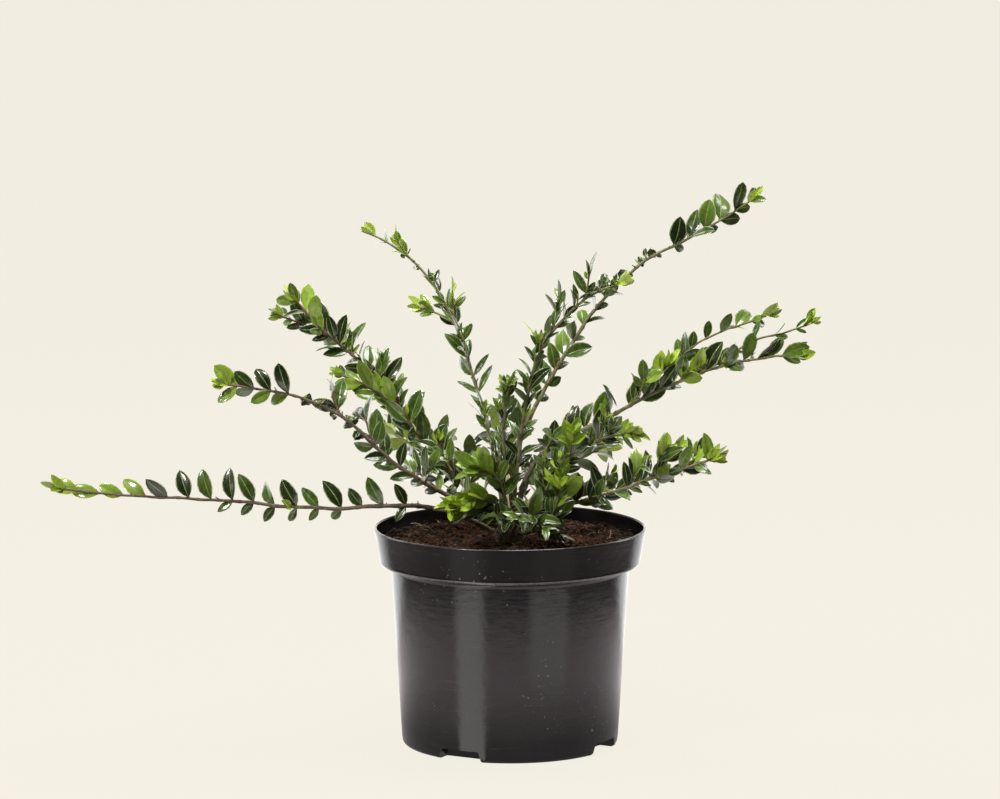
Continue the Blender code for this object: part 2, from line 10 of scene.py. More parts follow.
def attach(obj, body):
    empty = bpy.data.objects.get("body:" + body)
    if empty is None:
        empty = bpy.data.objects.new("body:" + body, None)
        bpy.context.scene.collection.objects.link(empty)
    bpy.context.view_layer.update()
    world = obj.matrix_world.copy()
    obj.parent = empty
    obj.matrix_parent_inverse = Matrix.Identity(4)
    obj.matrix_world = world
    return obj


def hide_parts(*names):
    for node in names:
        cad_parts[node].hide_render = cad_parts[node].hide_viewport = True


# A young privet honeysuckle in a black nursery pot. Metres, +Z up, -Y is the front.
# Headings are degrees about Z: 0 is right, 90 the back, 180 left, 270 the front.

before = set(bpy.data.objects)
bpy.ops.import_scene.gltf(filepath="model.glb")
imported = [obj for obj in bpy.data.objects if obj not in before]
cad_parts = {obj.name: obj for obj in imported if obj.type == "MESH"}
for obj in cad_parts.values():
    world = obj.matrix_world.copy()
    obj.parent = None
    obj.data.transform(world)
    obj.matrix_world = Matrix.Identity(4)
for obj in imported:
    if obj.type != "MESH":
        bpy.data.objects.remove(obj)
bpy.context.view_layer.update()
up = Vector((0, 0, 1))
print("frame loaded:", len(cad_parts), "nodes")


# Small helpers

def direction(heading, pitch):
    level = cos(radians(pitch))
    return Vector((level * cos(radians(heading)), level * sin(radians(heading)), sin(radians(pitch))))


def between(values, share):
    place = min(max(share, 0), 1) * (len(values) - 1)
    low = min(int(place), len(values) - 2)
    return values[low] + (values[low + 1] - values[low]) * (place - low)


def smooth(share):
    share = min(max(share, 0), 1)
    return share * share * (3 - 2 * share)


def wobble(chance, most):
    # a random number on either side of nought
    return chance.uniform(-most, most)


def turned(angle, axis):
    return Matrix.Rotation(radians(angle), 3, axis)


def meshOf(shape, name):
    mesh = bpy.data.meshes.new(name)
    shape.to_mesh(mesh)
    shape.free()
    mesh.shade_smooth()
    return mesh


def newObject(name, mesh):
    piece = bpy.data.objects.new(name, mesh)
    bpy.context.scene.collection.objects.link(piece)
    return piece


def makePiece(name, mesh, slot, materials, *nodes):
    piece = newObject(name, mesh)
    for material in materials:
        mesh.materials.append(material)
    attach(piece, "root")
    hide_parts(*nodes)
    return piece


def nextRing(shape, ring):
    # draws a closed ring of verts out by one band of faces and gives the new ring in the same order
    edges = [edgeBetween(ring[k - 1], ring[k]) for k in range(len(ring))]
    made = bmesh.ops.extrude_edge_only(shape, edges=edges)["geom"]
    grown = {part for part in made if isinstance(part, bmesh.types.BMVert)}
    return [next(edge.other_vert(vert) for edge in vert.link_edges if edge.other_vert(vert) in grown)
            for vert in ring]


def edgeBetween(first, second):
    return next(edge for edge in first.link_edges if edge.other_vert(first) is second)


def newHeap():
    # many small placed copies of templates, joined into one mesh
    return dict(points=[], faces=[], roles=[], count=0)


def addTo(heap, points, faces, roles):
    first = heap["count"]
    heap["points"].append(points)
    heap["faces"] += [[i + first for i in face] for face in faces]
    heap["roles"] += roles
    heap["count"] += len(points)


def heapMesh(heap, name, sharpAngle=60):
    mesh = bpy.data.meshes.new(name)
    mesh.from_pydata(np.concatenate(heap["points"]).tolist(), [], heap["faces"])
    mesh.polygons.foreach_set("material_index", heap["roles"])
    mesh.update()
    mesh.shade_smooth()
    mesh.set_sharp_from_angle(angle=radians(sharpAngle))
    return mesh


# Camera, floor and lights

view = dict(
    place=(-0.0063, -2.759, 0.6131),   # 2.8 m from the rim of the pot
    pitch=-8.18,
    lens=161.4,                        # on a 36 mm sensor
)


def setCamera():
    data = bpy.data.cameras.new("camera")
    data.lens = view["lens"]
    data.sensor_width = 36
    data.clip_end = 50
    camera = newObject("camera", data)
    camera.location = view["place"]
    camera.rotation_euler = (radians(90 + view["pitch"]), 0, 0)
    bpy.context.scene.camera = camera


studio = dict(
    cream=(0.900, 0.859, 0.764),       # paper of the floor and the backdrop
    floorSize=16,
    floorShade=0.025,                  # how much of the floor's light comes from the lamps
    tableLight=(1.16, 1.04, 1.06),     # the pale table round the pot, as the pot mirrors it
    tableNear=(0.40, 0.37, 0.375),     # it is duller close to the pot
    tableEdge=(0.42, 0.30),            # it fades out between these distances
    tableReach=(0.20, 0.09),           # and dulls between these
    tableStretch=0.92,                 # its edge lies further out to either side
    wallFoot=(0.22, 0.30),             # the lit wall begins behind it
    wallLight=1.8,
    roomDark=0.08,                     # the room behind the camera
    roomSide=0.28,                     # and to the sides
    sideSpan=(-0.25, 0.30),            # where it grows lighter, from the camera's side to the back
    wallSpan=(0.70, 0.77),             # and where the lit wall takes over
    lampAim=(0, 0, 0.16),
    patchTint=(1, 0.975, 0.93, 1),
    patchLift=0.0004,
)

# place, size, power, colour; each looks at the middle of the plant
softboxes = {
    "keyBox": ((-1.05, -1.15, 1.55), (0.45, 0.45), 24, (1, 0.985, 0.95)),
    "topBox": ((0.25, 0.15, 1.75), (0.8, 0.8), 30, (1, 0.99, 0.97)),
    "rimLeft": ((-1.5, 0.9, 0.9), (0.5, 1.0), 8.5, (0.97, 0.99, 1)),
    "rimRight": ((1.5, 0.8, 0.9), (0.5, 1.0), 9, (0.97, 0.99, 1)),
}

# lit patches of the table that the pot mirrors as upright strips: headings of the strip's two
# edges on the pot, distance from the pot at which the patch starts and ends, strength
tablePatches = {
    "brightPatch": (242.6, 256.7, 0.004, 0.42, 2.1),
    "faintPatch": (280.0, 299.0, 0.150, 0.40, 1.45),
}


def makeWorld():
    world = bpy.data.worlds.new("studio")
    bpy.context.scene.world = world
    world.use_nodes = True
    tree = world.node_tree
    coordinates = addNode(tree, "TexCoord")
    parts = addNode(tree, "SeparateXYZ")
    tree.links.new(coordinates.outputs["Generated"], parts.inputs[0])
    side = ranged(tree, parts.outputs["Y"], studio["roomDark"], studio["roomSide"], *studio["sideSpan"])
    wall = ranged(tree, parts.outputs["Y"], 0, studio["wallLight"], *studio["wallSpan"])
    room = combined(tree, side, wall, "ADD")
    path = addNode(tree, "LightPath")
    seen = addNode(tree, "Mix", {"B": 1.0}, data_type="FLOAT")
    tree.links.new(path.outputs["Is Camera Ray"], seen.inputs["Factor"])
    tree.links.new(room, seen.inputs["A"])
    backdrop = tree.nodes["Background"]
    backdrop.inputs["Color"].default_value = (*studio["cream"], 1)
    tree.links.new(seen.outputs["Result"], backdrop.inputs["Strength"])


def makeFloor():
    shape = bmesh.new()
    bmesh.ops.create_grid(shape, x_segments=1, y_segments=1, size=studio["floorSize"])
    floor = newObject("floor", meshOf(shape, "floor"))
    shade = studio["floorShade"]
    material, tree, shader = newMaterial("floorPaper", {
        "Base Color": (*[tone * shade for tone in studio["cream"]], 1), "Roughness": 0.9,
        "Specular IOR Level": 0, "Emission Strength": 1})
    parts = addNode(tree, "SeparateXYZ")
    place = addNode(tree, "TexCoord").outputs["Object"]
    tree.links.new(place, parts.inputs[0])
    oval = addNode(tree, "Mapping", {"Scale": (studio["tableStretch"], 1, 1)})
    tree.links.new(place, oval.inputs["Vector"])
    reach = addNode(tree, "VectorMath", operation="LENGTH")
    tree.links.new(oval.outputs["Vector"], reach.inputs[0])
    distance = reach.outputs["Value"]
    near = ranged(tree, distance, 0, 1, *studio["tableReach"])
    table = blend(tree, near, studio["tableLight"], studio["tableNear"])
    edge = ranged(tree, distance, 0, 1, *studio["tableEdge"])
    mirrored = blend(tree, edge, (studio["roomDark"],) * 3, table)
    wall = ranged(tree, parts.outputs["Y"], 0, 1, *studio["wallFoot"])
    mirrored = blend(tree, wall, mirrored, (studio["wallLight"],) * 3)
    path = addNode(tree, "LightPath")
    paper = tuple(tone * (1 - shade) for tone in studio["cream"])
    colour = blend(tree, path.outputs["Is Camera Ray"], mirrored, paper)
    tree.links.new(colour, shader.inputs["Emission Color"])
    floor.data.materials.append(material)


def makeTablePatches():
    # they show only as gleams on glossy surfaces
    for name, (start, end, nearest, furthest, strength) in tablePatches.items():
        shape = bmesh.new()
        corners = []
        for edge, reaches in ((start, (nearest, furthest)), (end, (furthest, nearest))):
            mirrored = direction(2 * edge - 270, 0)
            corners += [direction(edge, 0) * potSizes["base"] + mirrored * reach for reach in reaches]
        shape.faces.new([shape.verts.new(corner + up * studio["patchLift"]) for corner in corners])
        bmesh.ops.recalc_face_normals(shape, faces=shape.faces)
        patch = newObject(name, meshOf(shape, name))
        material, _, _ = newMaterial(name, {
            "Base Color": (0, 0, 0, 1), "Emission Color": studio["patchTint"],
            "Emission Strength": strength})
        patch.data.materials.append(material)
        patch.visible_camera = False
        patch.visible_diffuse = False
        patch.visible_shadow = False


def makeSoftboxes():
    for name, (place, size, power, colour) in softboxes.items():
        light = bpy.data.lights.new(name, "AREA")
        light.shape = "RECTANGLE"
        light.size, light.size_y = size
        light.energy = power
        light.color = colour
        lamp = newObject(name, light)
        lamp.location = place
        lamp.visible_camera = False
        aim = Vector(studio["lampAim"]) - Vector(place)
        lamp.rotation_euler = aim.to_track_quat("-Z", "Y").to_euler()


# Node helpers

def setInputs(node, values):
    for key, value in values.items():
        node.inputs[key].default_value = value


def addNode(tree, kind, values=None, **settings):
    node = tree.nodes.new("ShaderNode" + kind)
    for key, value in settings.items():
        setattr(node, key, value)
    setInputs(node, values or {})
    return node


def newMaterial(name, values):
    # values are those of its surface's unlinked inputs
    material = bpy.data.materials.new(name)
    material.use_nodes = True
    shader = material.node_tree.nodes["Principled BSDF"]
    setInputs(shader, values)
    return material, material.node_tree, shader


def blend(tree, mask, first, second):
    # first and second are colours, or outputs of other nodes
    node = addNode(tree, "Mix", data_type="RGBA")
    tree.links.new(mask, node.inputs["Factor"])
    for value, socket in ((first, node.inputs["A"]), (second, node.inputs["B"])):
        if isinstance(value, tuple):
            socket.default_value = (*value, 1)
        else:
            tree.links.new(value, socket)
    return node.outputs["Result"]


def ranged(tree, value, low, high, fromLow=0.0, fromHigh=1.0):
    node = addNode(tree, "MapRange", {
        "From Min": fromLow, "From Max": fromHigh, "To Min": low, "To Max": high})
    tree.links.new(value, node.inputs["Value"])
    return node.outputs["Result"]


def combined(tree, first, second, operation):
    node = addNode(tree, "Math", operation=operation)
    tree.links.new(first, node.inputs[0])
    tree.links.new(second, node.inputs[1])
    return node.outputs[0]


setCamera()
bpy.context.scene.view_settings.view_transform = "Standard"
bpy.context.scene.view_settings.look = "None"
makeWorld()
makeFloor()
makeSoftboxes()
print("camera and studio ready")


# Materials

def nodeGroup(name, inputs, output):
    # a group that takes a place and some numbers, and gives one number
    group = bpy.data.node_groups.new(name, "ShaderNodeTree")
    group.interface.new_socket("Vector", in_out="INPUT", socket_type="NodeSocketVector")
    for label, value in inputs.items():
        socket = group.interface.new_socket(label, in_out="INPUT", socket_type="NodeSocketFloat")
        socket.default_value = value
    group.interface.new_socket(output, in_out="OUTPUT", socket_type="NodeSocketFloat")
    return group, group.nodes.new("NodeGroupInput"), group.nodes.new("NodeGroupOutput")


def groupTexture(group, inn, kind, scale, **values):
    node = addNode(group, kind, values)
    group.links.new(inn.outputs["Vector"], node.inputs["Vector"])
    group.links.new(inn.outputs[scale], node.inputs["Scale"])
    return node


def makeMottleGroup():
    # two scales of noise mixed into one value from 0 to 1
    group, inn, out = nodeGroup("mottle", {"Coarse": 60.0, "Fine": 600.0}, "Value")
    coarse = groupTexture(group, inn, "TexNoise", "Coarse", Detail=3.0)
    fine = groupTexture(group, inn, "TexNoise", "Fine", Detail=4.0)
    both = combined(group, coarse.outputs["Fac"], fine.outputs["Fac"], "ADD")
    group.links.new(ranged(group, both, 0, 1, 0.7, 1.3), out.inputs["Value"])
    return group


def makeSpeckGroup():
    # small round specks that come in patches
    group, inn, out = nodeGroup("specks", {"Specks": 200.0, "Patches": 17.0, "Amount": 0.5}, "Mask")
    cells = groupTexture(group, inn, "TexVoronoi", "Specks")
    spots = ranged(group, cells.outputs["Distance"], 1, 0, 0.08, 0.16)
    cloud = groupTexture(group, inn, "TexNoise", "Patches", Detail=3.0)
    lifted = combined(group, cloud.outputs["Fac"], inn.outputs["Amount"], "ADD")
    patches = ranged(group, lifted, 0, 1, 1.02, 1.12)
    group.links.new(combined(group, spots, patches, "MULTIPLY"), out.inputs["Mask"])
    return group


mottleGroup = makeMottleGroup()
speckGroup = makeSpeckGroup()


def surface(name, roughness, gloss, more=None):
    values = {"Roughness": roughness, "Specular IOR Level": gloss, **(more or {})}
    material, tree, shader = newMaterial(name, values)
    return material, tree, shader, addNode(tree, "TexCoord").outputs["Object"]


def useGroup(tree, group, place, **values):
    node = addNode(tree, "Group", values, node_tree=group)
    tree.links.new(place, node.inputs["Vector"])
    return node.outputs[0]


def mottle(tree, place, coarse, fine):
    return useGroup(tree, mottleGroup, place, Coarse=coarse, Fine=fine)


def specks(tree, place, size, patches, amount):
    return useGroup(tree, speckGroup, place, Specks=size, Patches=patches, Amount=amount)


def addBump(tree, shader, height, strength, distance):
    node = addNode(tree, "Bump", {"Strength": strength, "Distance": distance})
    tree.links.new(height, node.inputs["Height"])
    tree.links.new(node.outputs["Normal"], shader.inputs["Normal"])


# base colours of the blades between the dark and light of the mottle; tones are how much
# brighter or darker whole leaves are than that
leafPaint = {
    # dark, light, roughness, tones
    "oldLeaf": ((0.012, 0.031, 0.004), (0.062, 0.112, 0.014), 0.30, (0.42, 1.05, 1.9)),
    "midLeaf": ((0.052, 0.112, 0.008), (0.150, 0.245, 0.022), 0.32, (0.8, 1.25)),
    "youngLeaf": ((0.150, 0.260, 0.014), (0.330, 0.490, 0.050), 0.36, (0.8, 1.2)),
    "tipLeaf": ((0.350, 0.530, 0.024), (0.590, 0.760, 0.085), 0.40, (0.8, 1.1)),
    "leafUnder": ((0.070, 0.105, 0.028), (0.140, 0.190, 0.062), 0.42, (1,)),
    "youngUnder": ((0.320, 0.440, 0.060), (0.480, 0.600, 0.110), 0.50, (1,)),
    "midrib": ((0.190, 0.250, 0.060), (0.350, 0.420, 0.140), 0.40, (1,)),
    # the rim's pale green is partly the leaf's paler margin and partly a painted highlight along the edge
    "leafRimAndHighlight": ((0.240, 0.300, 0.120), (0.500, 0.560, 0.300), 0.40, (1,)),
}
leafFinish = dict(
    gloss=0.28, wax=0.95, waxRough=0.13, blotches=(90, 420), wear=(160, 900), roughSpan=(-0.06, 0.12),
    veins=(600, 2200), bump=0.30, relief=0.0002,
)


def leafMaterial(name, dark, light, rough, tone):
    look = leafFinish
    wax = {"Coat Weight": look["wax"], "Coat Roughness": look["waxRough"]}
    material, tree, shader, place = surface(name, rough, look["gloss"], wax)
    dark, light = (tuple(part * tone for part in colour) for colour in (dark, light))
    blotches = mottle(tree, place, *look["blotches"])
    tree.links.new(blend(tree, blotches, dark, light), shader.inputs["Base Color"])
    low, high = look["roughSpan"]
    dull = ranged(tree, mottle(tree, place, *look["wear"]), rough + low, rough + high)
    tree.links.new(dull, shader.inputs["Roughness"])
    addBump(tree, shader, mottle(tree, place, *look["veins"]), look["bump"], look["relief"])
    return material


leafMaterials, leafSlots = [], {}
for paintName, (dark, light, rough, tones) in leafPaint.items():
    leafSlots[paintName] = [len(leafMaterials) + i for i in range(len(tones))]
    leafMaterials += [
        leafMaterial(f"{paintName}{i + 1}", dark, light, rough, tone) for i, tone in enumerate(tones)]

barkPaint = {
    # dark, light, roughness, depth of the relief
    "oldBark": ((0.095, 0.075, 0.048), (0.480, 0.415, 0.280), 0.85, 0.0006),
    "youngBark": ((0.160, 0.142, 0.068), (0.500, 0.470, 0.260), 0.70, 0.0004),
    "greenBark": ((0.180, 0.195, 0.050), (0.380, 0.400, 0.125), 0.50, 0.0002),
    "redBark": ((0.160, 0.085, 0.060), (0.360, 0.220, 0.150), 0.55, 0.0002),
    "brownBark": ((0.075, 0.052, 0.032), (0.350, 0.275, 0.170), 0.75, 0.0004),
}
barkSlots = {name: i for i, name in enumerate(barkPaint)}
barkFinish = dict(gloss=0.35, fibres=(900, 2600), stains=(120, 500), stainSpan=(0.45, 1.15), bump=0.9)


def barkMaterial(name, dark, light, rough, relief):
    # the pattern follows the stem: barkPlace runs round and along it
    look = barkFinish
    material, tree, shader, place = surface(name, rough, look["gloss"])
    grain = addNode(tree, "Attribute", attribute_name="barkPlace").outputs["Vector"]
    fibres = mottle(tree, grain, *look["fibres"])
    stains = mottle(tree, place, *look["stains"])
    tone = combined(tree, fibres, ranged(tree, stains, *look["stainSpan"]), "MULTIPLY")
    tree.links.new(blend(tree, tone, dark, light), shader.inputs["Base Color"])
    addBump(tree, shader, fibres, look["bump"], relief)
    return material


barkMaterials = [barkMaterial(name, *paint) for name, paint in barkPaint.items()]

plasticLook = dict(
    deep=(0.0065, 0.0050, 0.0055), worn=(0.0130, 0.0110, 0.0115), wear=(14, 90),
    # pale edge paint: wear, with a painted highlight on the lip and a painted gleam on the rounded ledge
    paleWearAndGleam=(0.110, 0.102, 0.102), wearAndGleamMottle=(40, 300), wearAndGleamSpan=(0.25, 0.75),
    dust=(0.30, 0.28, 0.25), fineDust=(260, 17, 0.45), coarseDust=(120, 23, 0.42),
    rough=(0.10, 0.20), scuffRough=0.42,
    flatness=11, streaks=38, scuffSpan=(0.58, 0.76), scuffShare=0.11,     # level scuffs
    ripple=(30, 160), bump=0.10, relief=0.0008,
)
# gloss of the wall and of the duller band, and share of pale edge paint: wear with a painted highlight on
# the lip, a painted gleam of the bright table on the rounded ledge
plasticParts = {
    "wallPlastic": (0.50, 0), "bandPlastic": (0.12, 0), "lipWearAndHighlight": (0.50, 0.35), "ledgeGleamPaint": (0.80, 1)}


def plasticMaterial(name, gloss, wearAndGleamShare):
    look = plasticLook
    material, tree, shader, place = surface(name, look["rough"][1], gloss)
    wear = mottle(tree, place, *look["wear"])
    flat = addNode(tree, "Mapping", {"Scale": (1, 1, look["flatness"])})
    tree.links.new(place, flat.inputs["Vector"])
    streak = addNode(tree, "TexNoise", {"Scale": look["streaks"], "Detail": 7.0, "Roughness": 0.75})
    tree.links.new(flat.outputs["Vector"], streak.inputs["Vector"])
    scuff = ranged(tree, streak.outputs["Fac"], 0, look["scuffShare"], *look["scuffSpan"])
    dust = combined(
        tree, specks(tree, place, *look["fineDust"]), specks(tree, place, *look["coarseDust"]), "MAXIMUM")
    colour = blend(tree, wear, look["deep"], look["worn"])
    # mottled pale patches: wear with a painted highlight on the lip, a painted gleam on the ledge under the
    # band
    if wearAndGleamShare:
        wearAndGleamMottle = mottle(tree, place, *look["wearAndGleamMottle"])
        paleWearAndGleam = ranged(tree, wearAndGleamMottle, 0.3 * wearAndGleamShare, wearAndGleamShare, *look["wearAndGleamSpan"])
        colour = blend(tree, paleWearAndGleam, colour, look["paleWearAndGleam"])
    colour = blend(tree, scuff, colour, look["dust"])
    colour = blend(tree, dust, colour, look["dust"])
    tree.links.new(colour, shader.inputs["Base Color"])
    matt = combined(tree, ranged(tree, wear, *look["rough"]),
                    ranged(tree, scuff, 0, look["scuffRough"], 0, 0.10), "MAXIMUM")
    tree.links.new(combined(tree, matt, dust, "MAXIMUM"), shader.inputs["Roughness"])
    ripple = combined(tree, streak.outputs["Fac"], mottle(tree, place, *look["ripple"]), "ADD")
    addBump(tree, shader, ripple, look["bump"], look["relief"])
    return material


potMaterials = [plasticMaterial(name, *look) for name, look in plasticParts.items()]

soilPaint = {
    # dark, light, roughness
    "peat": ((0.0025, 0.0015, 0.0012), (0.032, 0.017, 0.011), 0.97),
    "redPeat": ((0.026, 0.011, 0.006), (0.250, 0.112, 0.058), 0.95),
    "paleFibre": ((0.220, 0.145, 0.090), (0.480, 0.360, 0.250), 0.85),
    "moss": ((0.040, 0.050, 0.010), (0.110, 0.120, 0.026), 0.95),
}
soilFinish = dict(gloss=0.25, grain=(260, 1500), bump=0.9, relief=0.0008)


def soilMaterial(name, dark, light, rough):
    material, tree, shader, place = surface(name, rough, soilFinish["gloss"])
    grain = mottle(tree, place, *soilFinish["grain"])
    tree.links.new(blend(tree, grain, dark, light), shader.inputs["Base Color"])
    addBump(tree, shader, grain, soilFinish["bump"], soilFinish["relief"])
    return material


soilMaterials = {name: soilMaterial(name, *paint) for name, paint in soilPaint.items()}
print("materials ready:", len(bpy.data.materials))


# Pot

potSizes = dict(
    height=0.1365, wall=0.0015, floor=0.0018, steps=200,
    rim=0.085, rimFoot=0.0813, band=0.0230, bandRound=0.0022, ledgeDrop=0.0010,
    bodyTop=0.0743, base=0.0675, edge=0.0025, lipBead=0.0009,
    recess=(0.016, 0.046), recessDepth=0.0008,
)
notch = dict(
    headings=(62, 152, 242, 332), width=0.034, height=0.0070, depth=0.0120,
    slant=0.0040, overrun=0.01, inset=0.0020, lift=0.0004, corner=0.0012,
)


def insideRadius(height):
    p = potSizes
    bandFoot = p["height"] - p["band"]
    if height < bandFoot:
        top = bandFoot - p["ledgeDrop"]
        return p["base"] + (p["bodyTop"] - p["base"]) * height / top - p["wall"]
    share = (height - bandFoot) / p["band"]
    return p["rimFoot"] + (p["rim"] - p["rimFoot"]) * share - p["wall"]


def arc(radius, height, size, start, end, steps):
    turns = [radians(start + (end - start) * i / steps) for i in range(steps + 1)]
    return [(radius + size * cos(turn), height + size * sin(turn)) for turn in turns]


def potProfile():
    p = potSizes
    bandFoot = p["height"] - p["band"]
    wall, bead, rounding = p["wall"], p["lipBead"], p["bandRound"]
    inner, outer = p["recess"]
    profile = [(0, p["floor"]), (insideRadius(p["floor"]) - 0.002, p["floor"])]
    profile += [(insideRadius(0.004), p["floor"] + 0.0022)]
    profile += [(p["bodyTop"] - wall, bandFoot + wall - p["ledgeDrop"] - 0.0008)]
    profile += [(p["bodyTop"] - wall + 0.0006, bandFoot + wall - p["ledgeDrop"])]
    profile += [(p["rimFoot"] - wall - 0.0006, bandFoot + wall - 0.0001)]
    profile += [(p["rimFoot"] - wall, bandFoot + wall + 0.0006)]
    profile += [(insideRadius(p["height"] - 0.004), p["height"] - 0.004)]
    profile += arc(p["rim"] - bead, p["height"] - bead, bead, 180, -20, 9)
    profile += [(p["rim"] - 0.0006, p["height"] - 0.0032)]
    profile += [(p["rimFoot"] + 0.0001, bandFoot + rounding + 0.0012)]
    profile += arc(p["rimFoot"] - rounding, bandFoot + rounding, rounding, 6, -90, 8)
    profile += [(p["bodyTop"] + 0.0007, bandFoot - p["ledgeDrop"] + 0.0001)]
    bodyTop = bandFoot - p["ledgeDrop"] - 0.0007
    profile += [(p["bodyTop"], bodyTop)]
    profile += [
        (p["base"] + (p["bodyTop"] - p["base"]) * share, bodyTop * share) for share in (0.985, 0.5, 0.04)]
    profile += arc(p["base"] - p["edge"], p["edge"], p["edge"], 3, -90, 7)
    profile += [(outer, 0), (outer - p["recessDepth"], p["recessDepth"])]
    profile += [(inner + p["recessDepth"], p["recessDepth"]), (inner, 0), (0, 0)]
    return profile


def spun(profile, steps):
    shape = bmesh.new()
    corners = [shape.verts.new((radius, 0, height)) for radius, height in profile]
    edges = [shape.edges.new(pair) for pair in zip(corners, corners[1:])]
    bmesh.ops.spin(
        shape, geom=corners + edges, cent=(0, 0, 0), axis=(0, 0, 1), angle=2 * pi, steps=steps,
        use_merge=True)
    bmesh.ops.remove_doubles(shape, verts=shape.verts, dist=0.00001)
    bmesh.ops.recalc_face_normals(shape, faces=shape.faces)
    return shape


def notchBlock(grow, reach, heading):
    # one drain notch, or with grow the wall round it
    n = notch
    shape = bmesh.new()
    bmesh.ops.create_cube(shape, size=1)
    inner = potSizes["base"] - n["depth"] - grow
    depth = reach - inner
    foot = n["lift"] if grow else -n["overrun"]
    height = n["height"] + grow - foot
    bmesh.ops.scale(shape, vec=(depth, n["width"] + 2 * grow, height), verts=shape.verts)
    bmesh.ops.translate(shape, vec=(inner + depth / 2, 0, foot + height / 2), verts=shape.verts)
    for corner in shape.verts:
        if corner.co.z > foot + height / 2:
            corner.co.y -= n["slant"] if corner.co.y > 0 else -n["slant"]
    bmesh.ops.bevel(
        shape, geom=shape.edges[:], offset=n["corner"], offset_type="OFFSET", affect="EDGES",
        segments=3, profile=0.5, material=-1)
    bmesh.ops.rotate(shape, cent=(0, 0, 0), matrix=turned(heading, "Z"), verts=shape.verts)
    bmesh.ops.recalc_face_normals(shape, faces=shape.faces)
    return newObject("block", meshOf(shape, "block"))


def joinOrCut(piece, operation, blocks):
    group = bpy.data.collections.new("blocks")
    for block in blocks:
        group.objects.link(block)
    boolean = piece.modifiers.new(operation.title(), "BOOLEAN")
    boolean.operation = operation
    boolean.operand_type = "COLLECTION"
    boolean.collection = group
    bpy.context.view_layer.update()
    graph = bpy.context.evaluated_depsgraph_get()
    done = bpy.data.meshes.new_from_object(piece.evaluated_get(graph))
    piece.modifiers.clear()
    piece.data = done
    for block in blocks:
        bpy.data.objects.remove(block, do_unlink=True)
    bpy.data.collections.remove(group)


def potPart(spot):
    # which of the pot's materials a spot of it has
    bandFoot = potSizes["height"] - potSizes["band"]
    if (spot.x ** 2 + spot.y ** 2) ** 0.5 < potSizes["rimFoot"] - 0.0014 or spot.z < bandFoot - 0.0002:
        return 0
    # 2 is the lip, with wear and a painted highlight; 3 the rounded ledge under the band, with a painted
    # gleam
    if spot.z > potSizes["height"] - 0.0007:
        return 2
    return 3 if spot.z < bandFoot + potSizes["bandRound"] * 0.8 else 1


def makePot():
    n = notch
    mesh = meshOf(spun(potProfile(), potSizes["steps"]), "nurseryPot")
    pot = makePiece("nurseryPot", mesh, "pot", potMaterials, "pot")
    reach = potSizes["base"]
    joinOrCut(pot, "UNION", [notchBlock(potSizes["wall"], reach - n["inset"], h) for h in n["headings"]])
    joinOrCut(pot, "DIFFERENCE", [notchBlock(0, reach + n["overrun"], h) for h in n["headings"]])
    for face in pot.data.polygons:
        face.material_index = potPart(face.center)
    pot.data.shade_smooth()
    pot.data.set_sharp_from_angle(angle=radians(40))


makePot()
makeTablePatches()
print("pot made")


# Soil

soilSizes = dict(
    edgeHeight=0.1245, mound=0.0035, shoulder=0.064, gap=0.0003, drop=0.0014,
    rings=70, spokes=150, lumps=0.0044, grain=0.0013, skirt=0.0055, bank=0.0034, bankFrom=0.80,
    broadRate=45, clodRate=150, grainRate=520,
)
crumbShape = dict(smallMost=2.2, stretch=((0.8, 2.0), (0.6, 1), (0.35, 0.8)), flatness=0.6, margin=0.003)
crumbKinds = {
    # material, count, smallest, largest
    "soilCrumbs": ("peat", 2000, 0.0008, 0.0050),
    "barkBits": ("redPeat", 1100, 0.0006, 0.0042),
    "mossTufts": ("moss", 130, 0.0006, 0.0015),
}
fibreShape = dict(shortMost=1.6, margin=0.0075, lift=0.0007)
fibreKinds = {
    # material, count, shortest, longest, thickness, how flat they lie
    "peatFibres": ("redPeat", 2400, 0.003, 0.014, 0.00036, 0.62),
    "paleFibres": ("paleFibre", 520, 0.002, 0.010, 0.00028, 0.66),
    "straws": ("paleFibre", 34, 0.006, 0.015, 0.00055, 0.62),
}


def soilTop(x, y):
    # hollows and crests on the mound
    s = soilSizes
    share = min((x * x + y * y) ** 0.5 / s["shoulder"], 1)
    broad, clods, grain = (noise.noise(Vector((x * s[rate], y * s[rate], row)))
                           for rate, row in (("broadRate", 3.1), ("clodRate", 8.4), ("grainRate", 1.7)))
    level = s["edgeHeight"] + s["mound"] * (1 - 0.8 * share ** 2) - s["drop"]
    level += s["bank"] * smooth((share - s["bankFrom"]) / (1 - s["bankFrom"]))
    return level + s["lumps"] * (0.4 * broad + 0.6 * clods) + s["grain"] * grain


def makeSoil():
    s = soilSizes
    limit = insideRadius(s["edgeHeight"]) - s["gap"]
    shape = bmesh.new()
    ring = bmesh.ops.create_circle(
        shape, cap_ends=True, cap_tris=True, segments=s["spokes"], radius=limit / s["rings"])["verts"]
    ring = [vert for vert in ring if vert.co.length > 0]
    for step in range(2, s["rings"] + 1):
        ring = nextRing(shape, ring)
        bmesh.ops.scale(shape, vec=(step / (step - 1), step / (step - 1), 1), verts=ring)
    for vert in shape.verts:
        vert.co.z = soilTop(vert.co.x, vert.co.y)
    ring = nextRing(shape, ring)
    for vert in ring:
        vert.co.z = s["edgeHeight"] - s["skirt"]
    bmesh.ops.contextual_create(shape, geom=ring)
    bmesh.ops.recalc_face_normals(shape, faces=shape.faces)
    makePiece("soilBed", meshOf(shape, "soilBed"), "soil", [soilMaterials["peat"]], "soil")


def arraysOf(shape):
    shape.verts.index_update()
    points = np.array([vert.co[:] for vert in shape.verts])
    faces = [[vert.index for vert in face.verts] for face in shape.faces]
    roles = [face.material_index for face in shape.faces]
    shape.free()
    return points, faces, roles


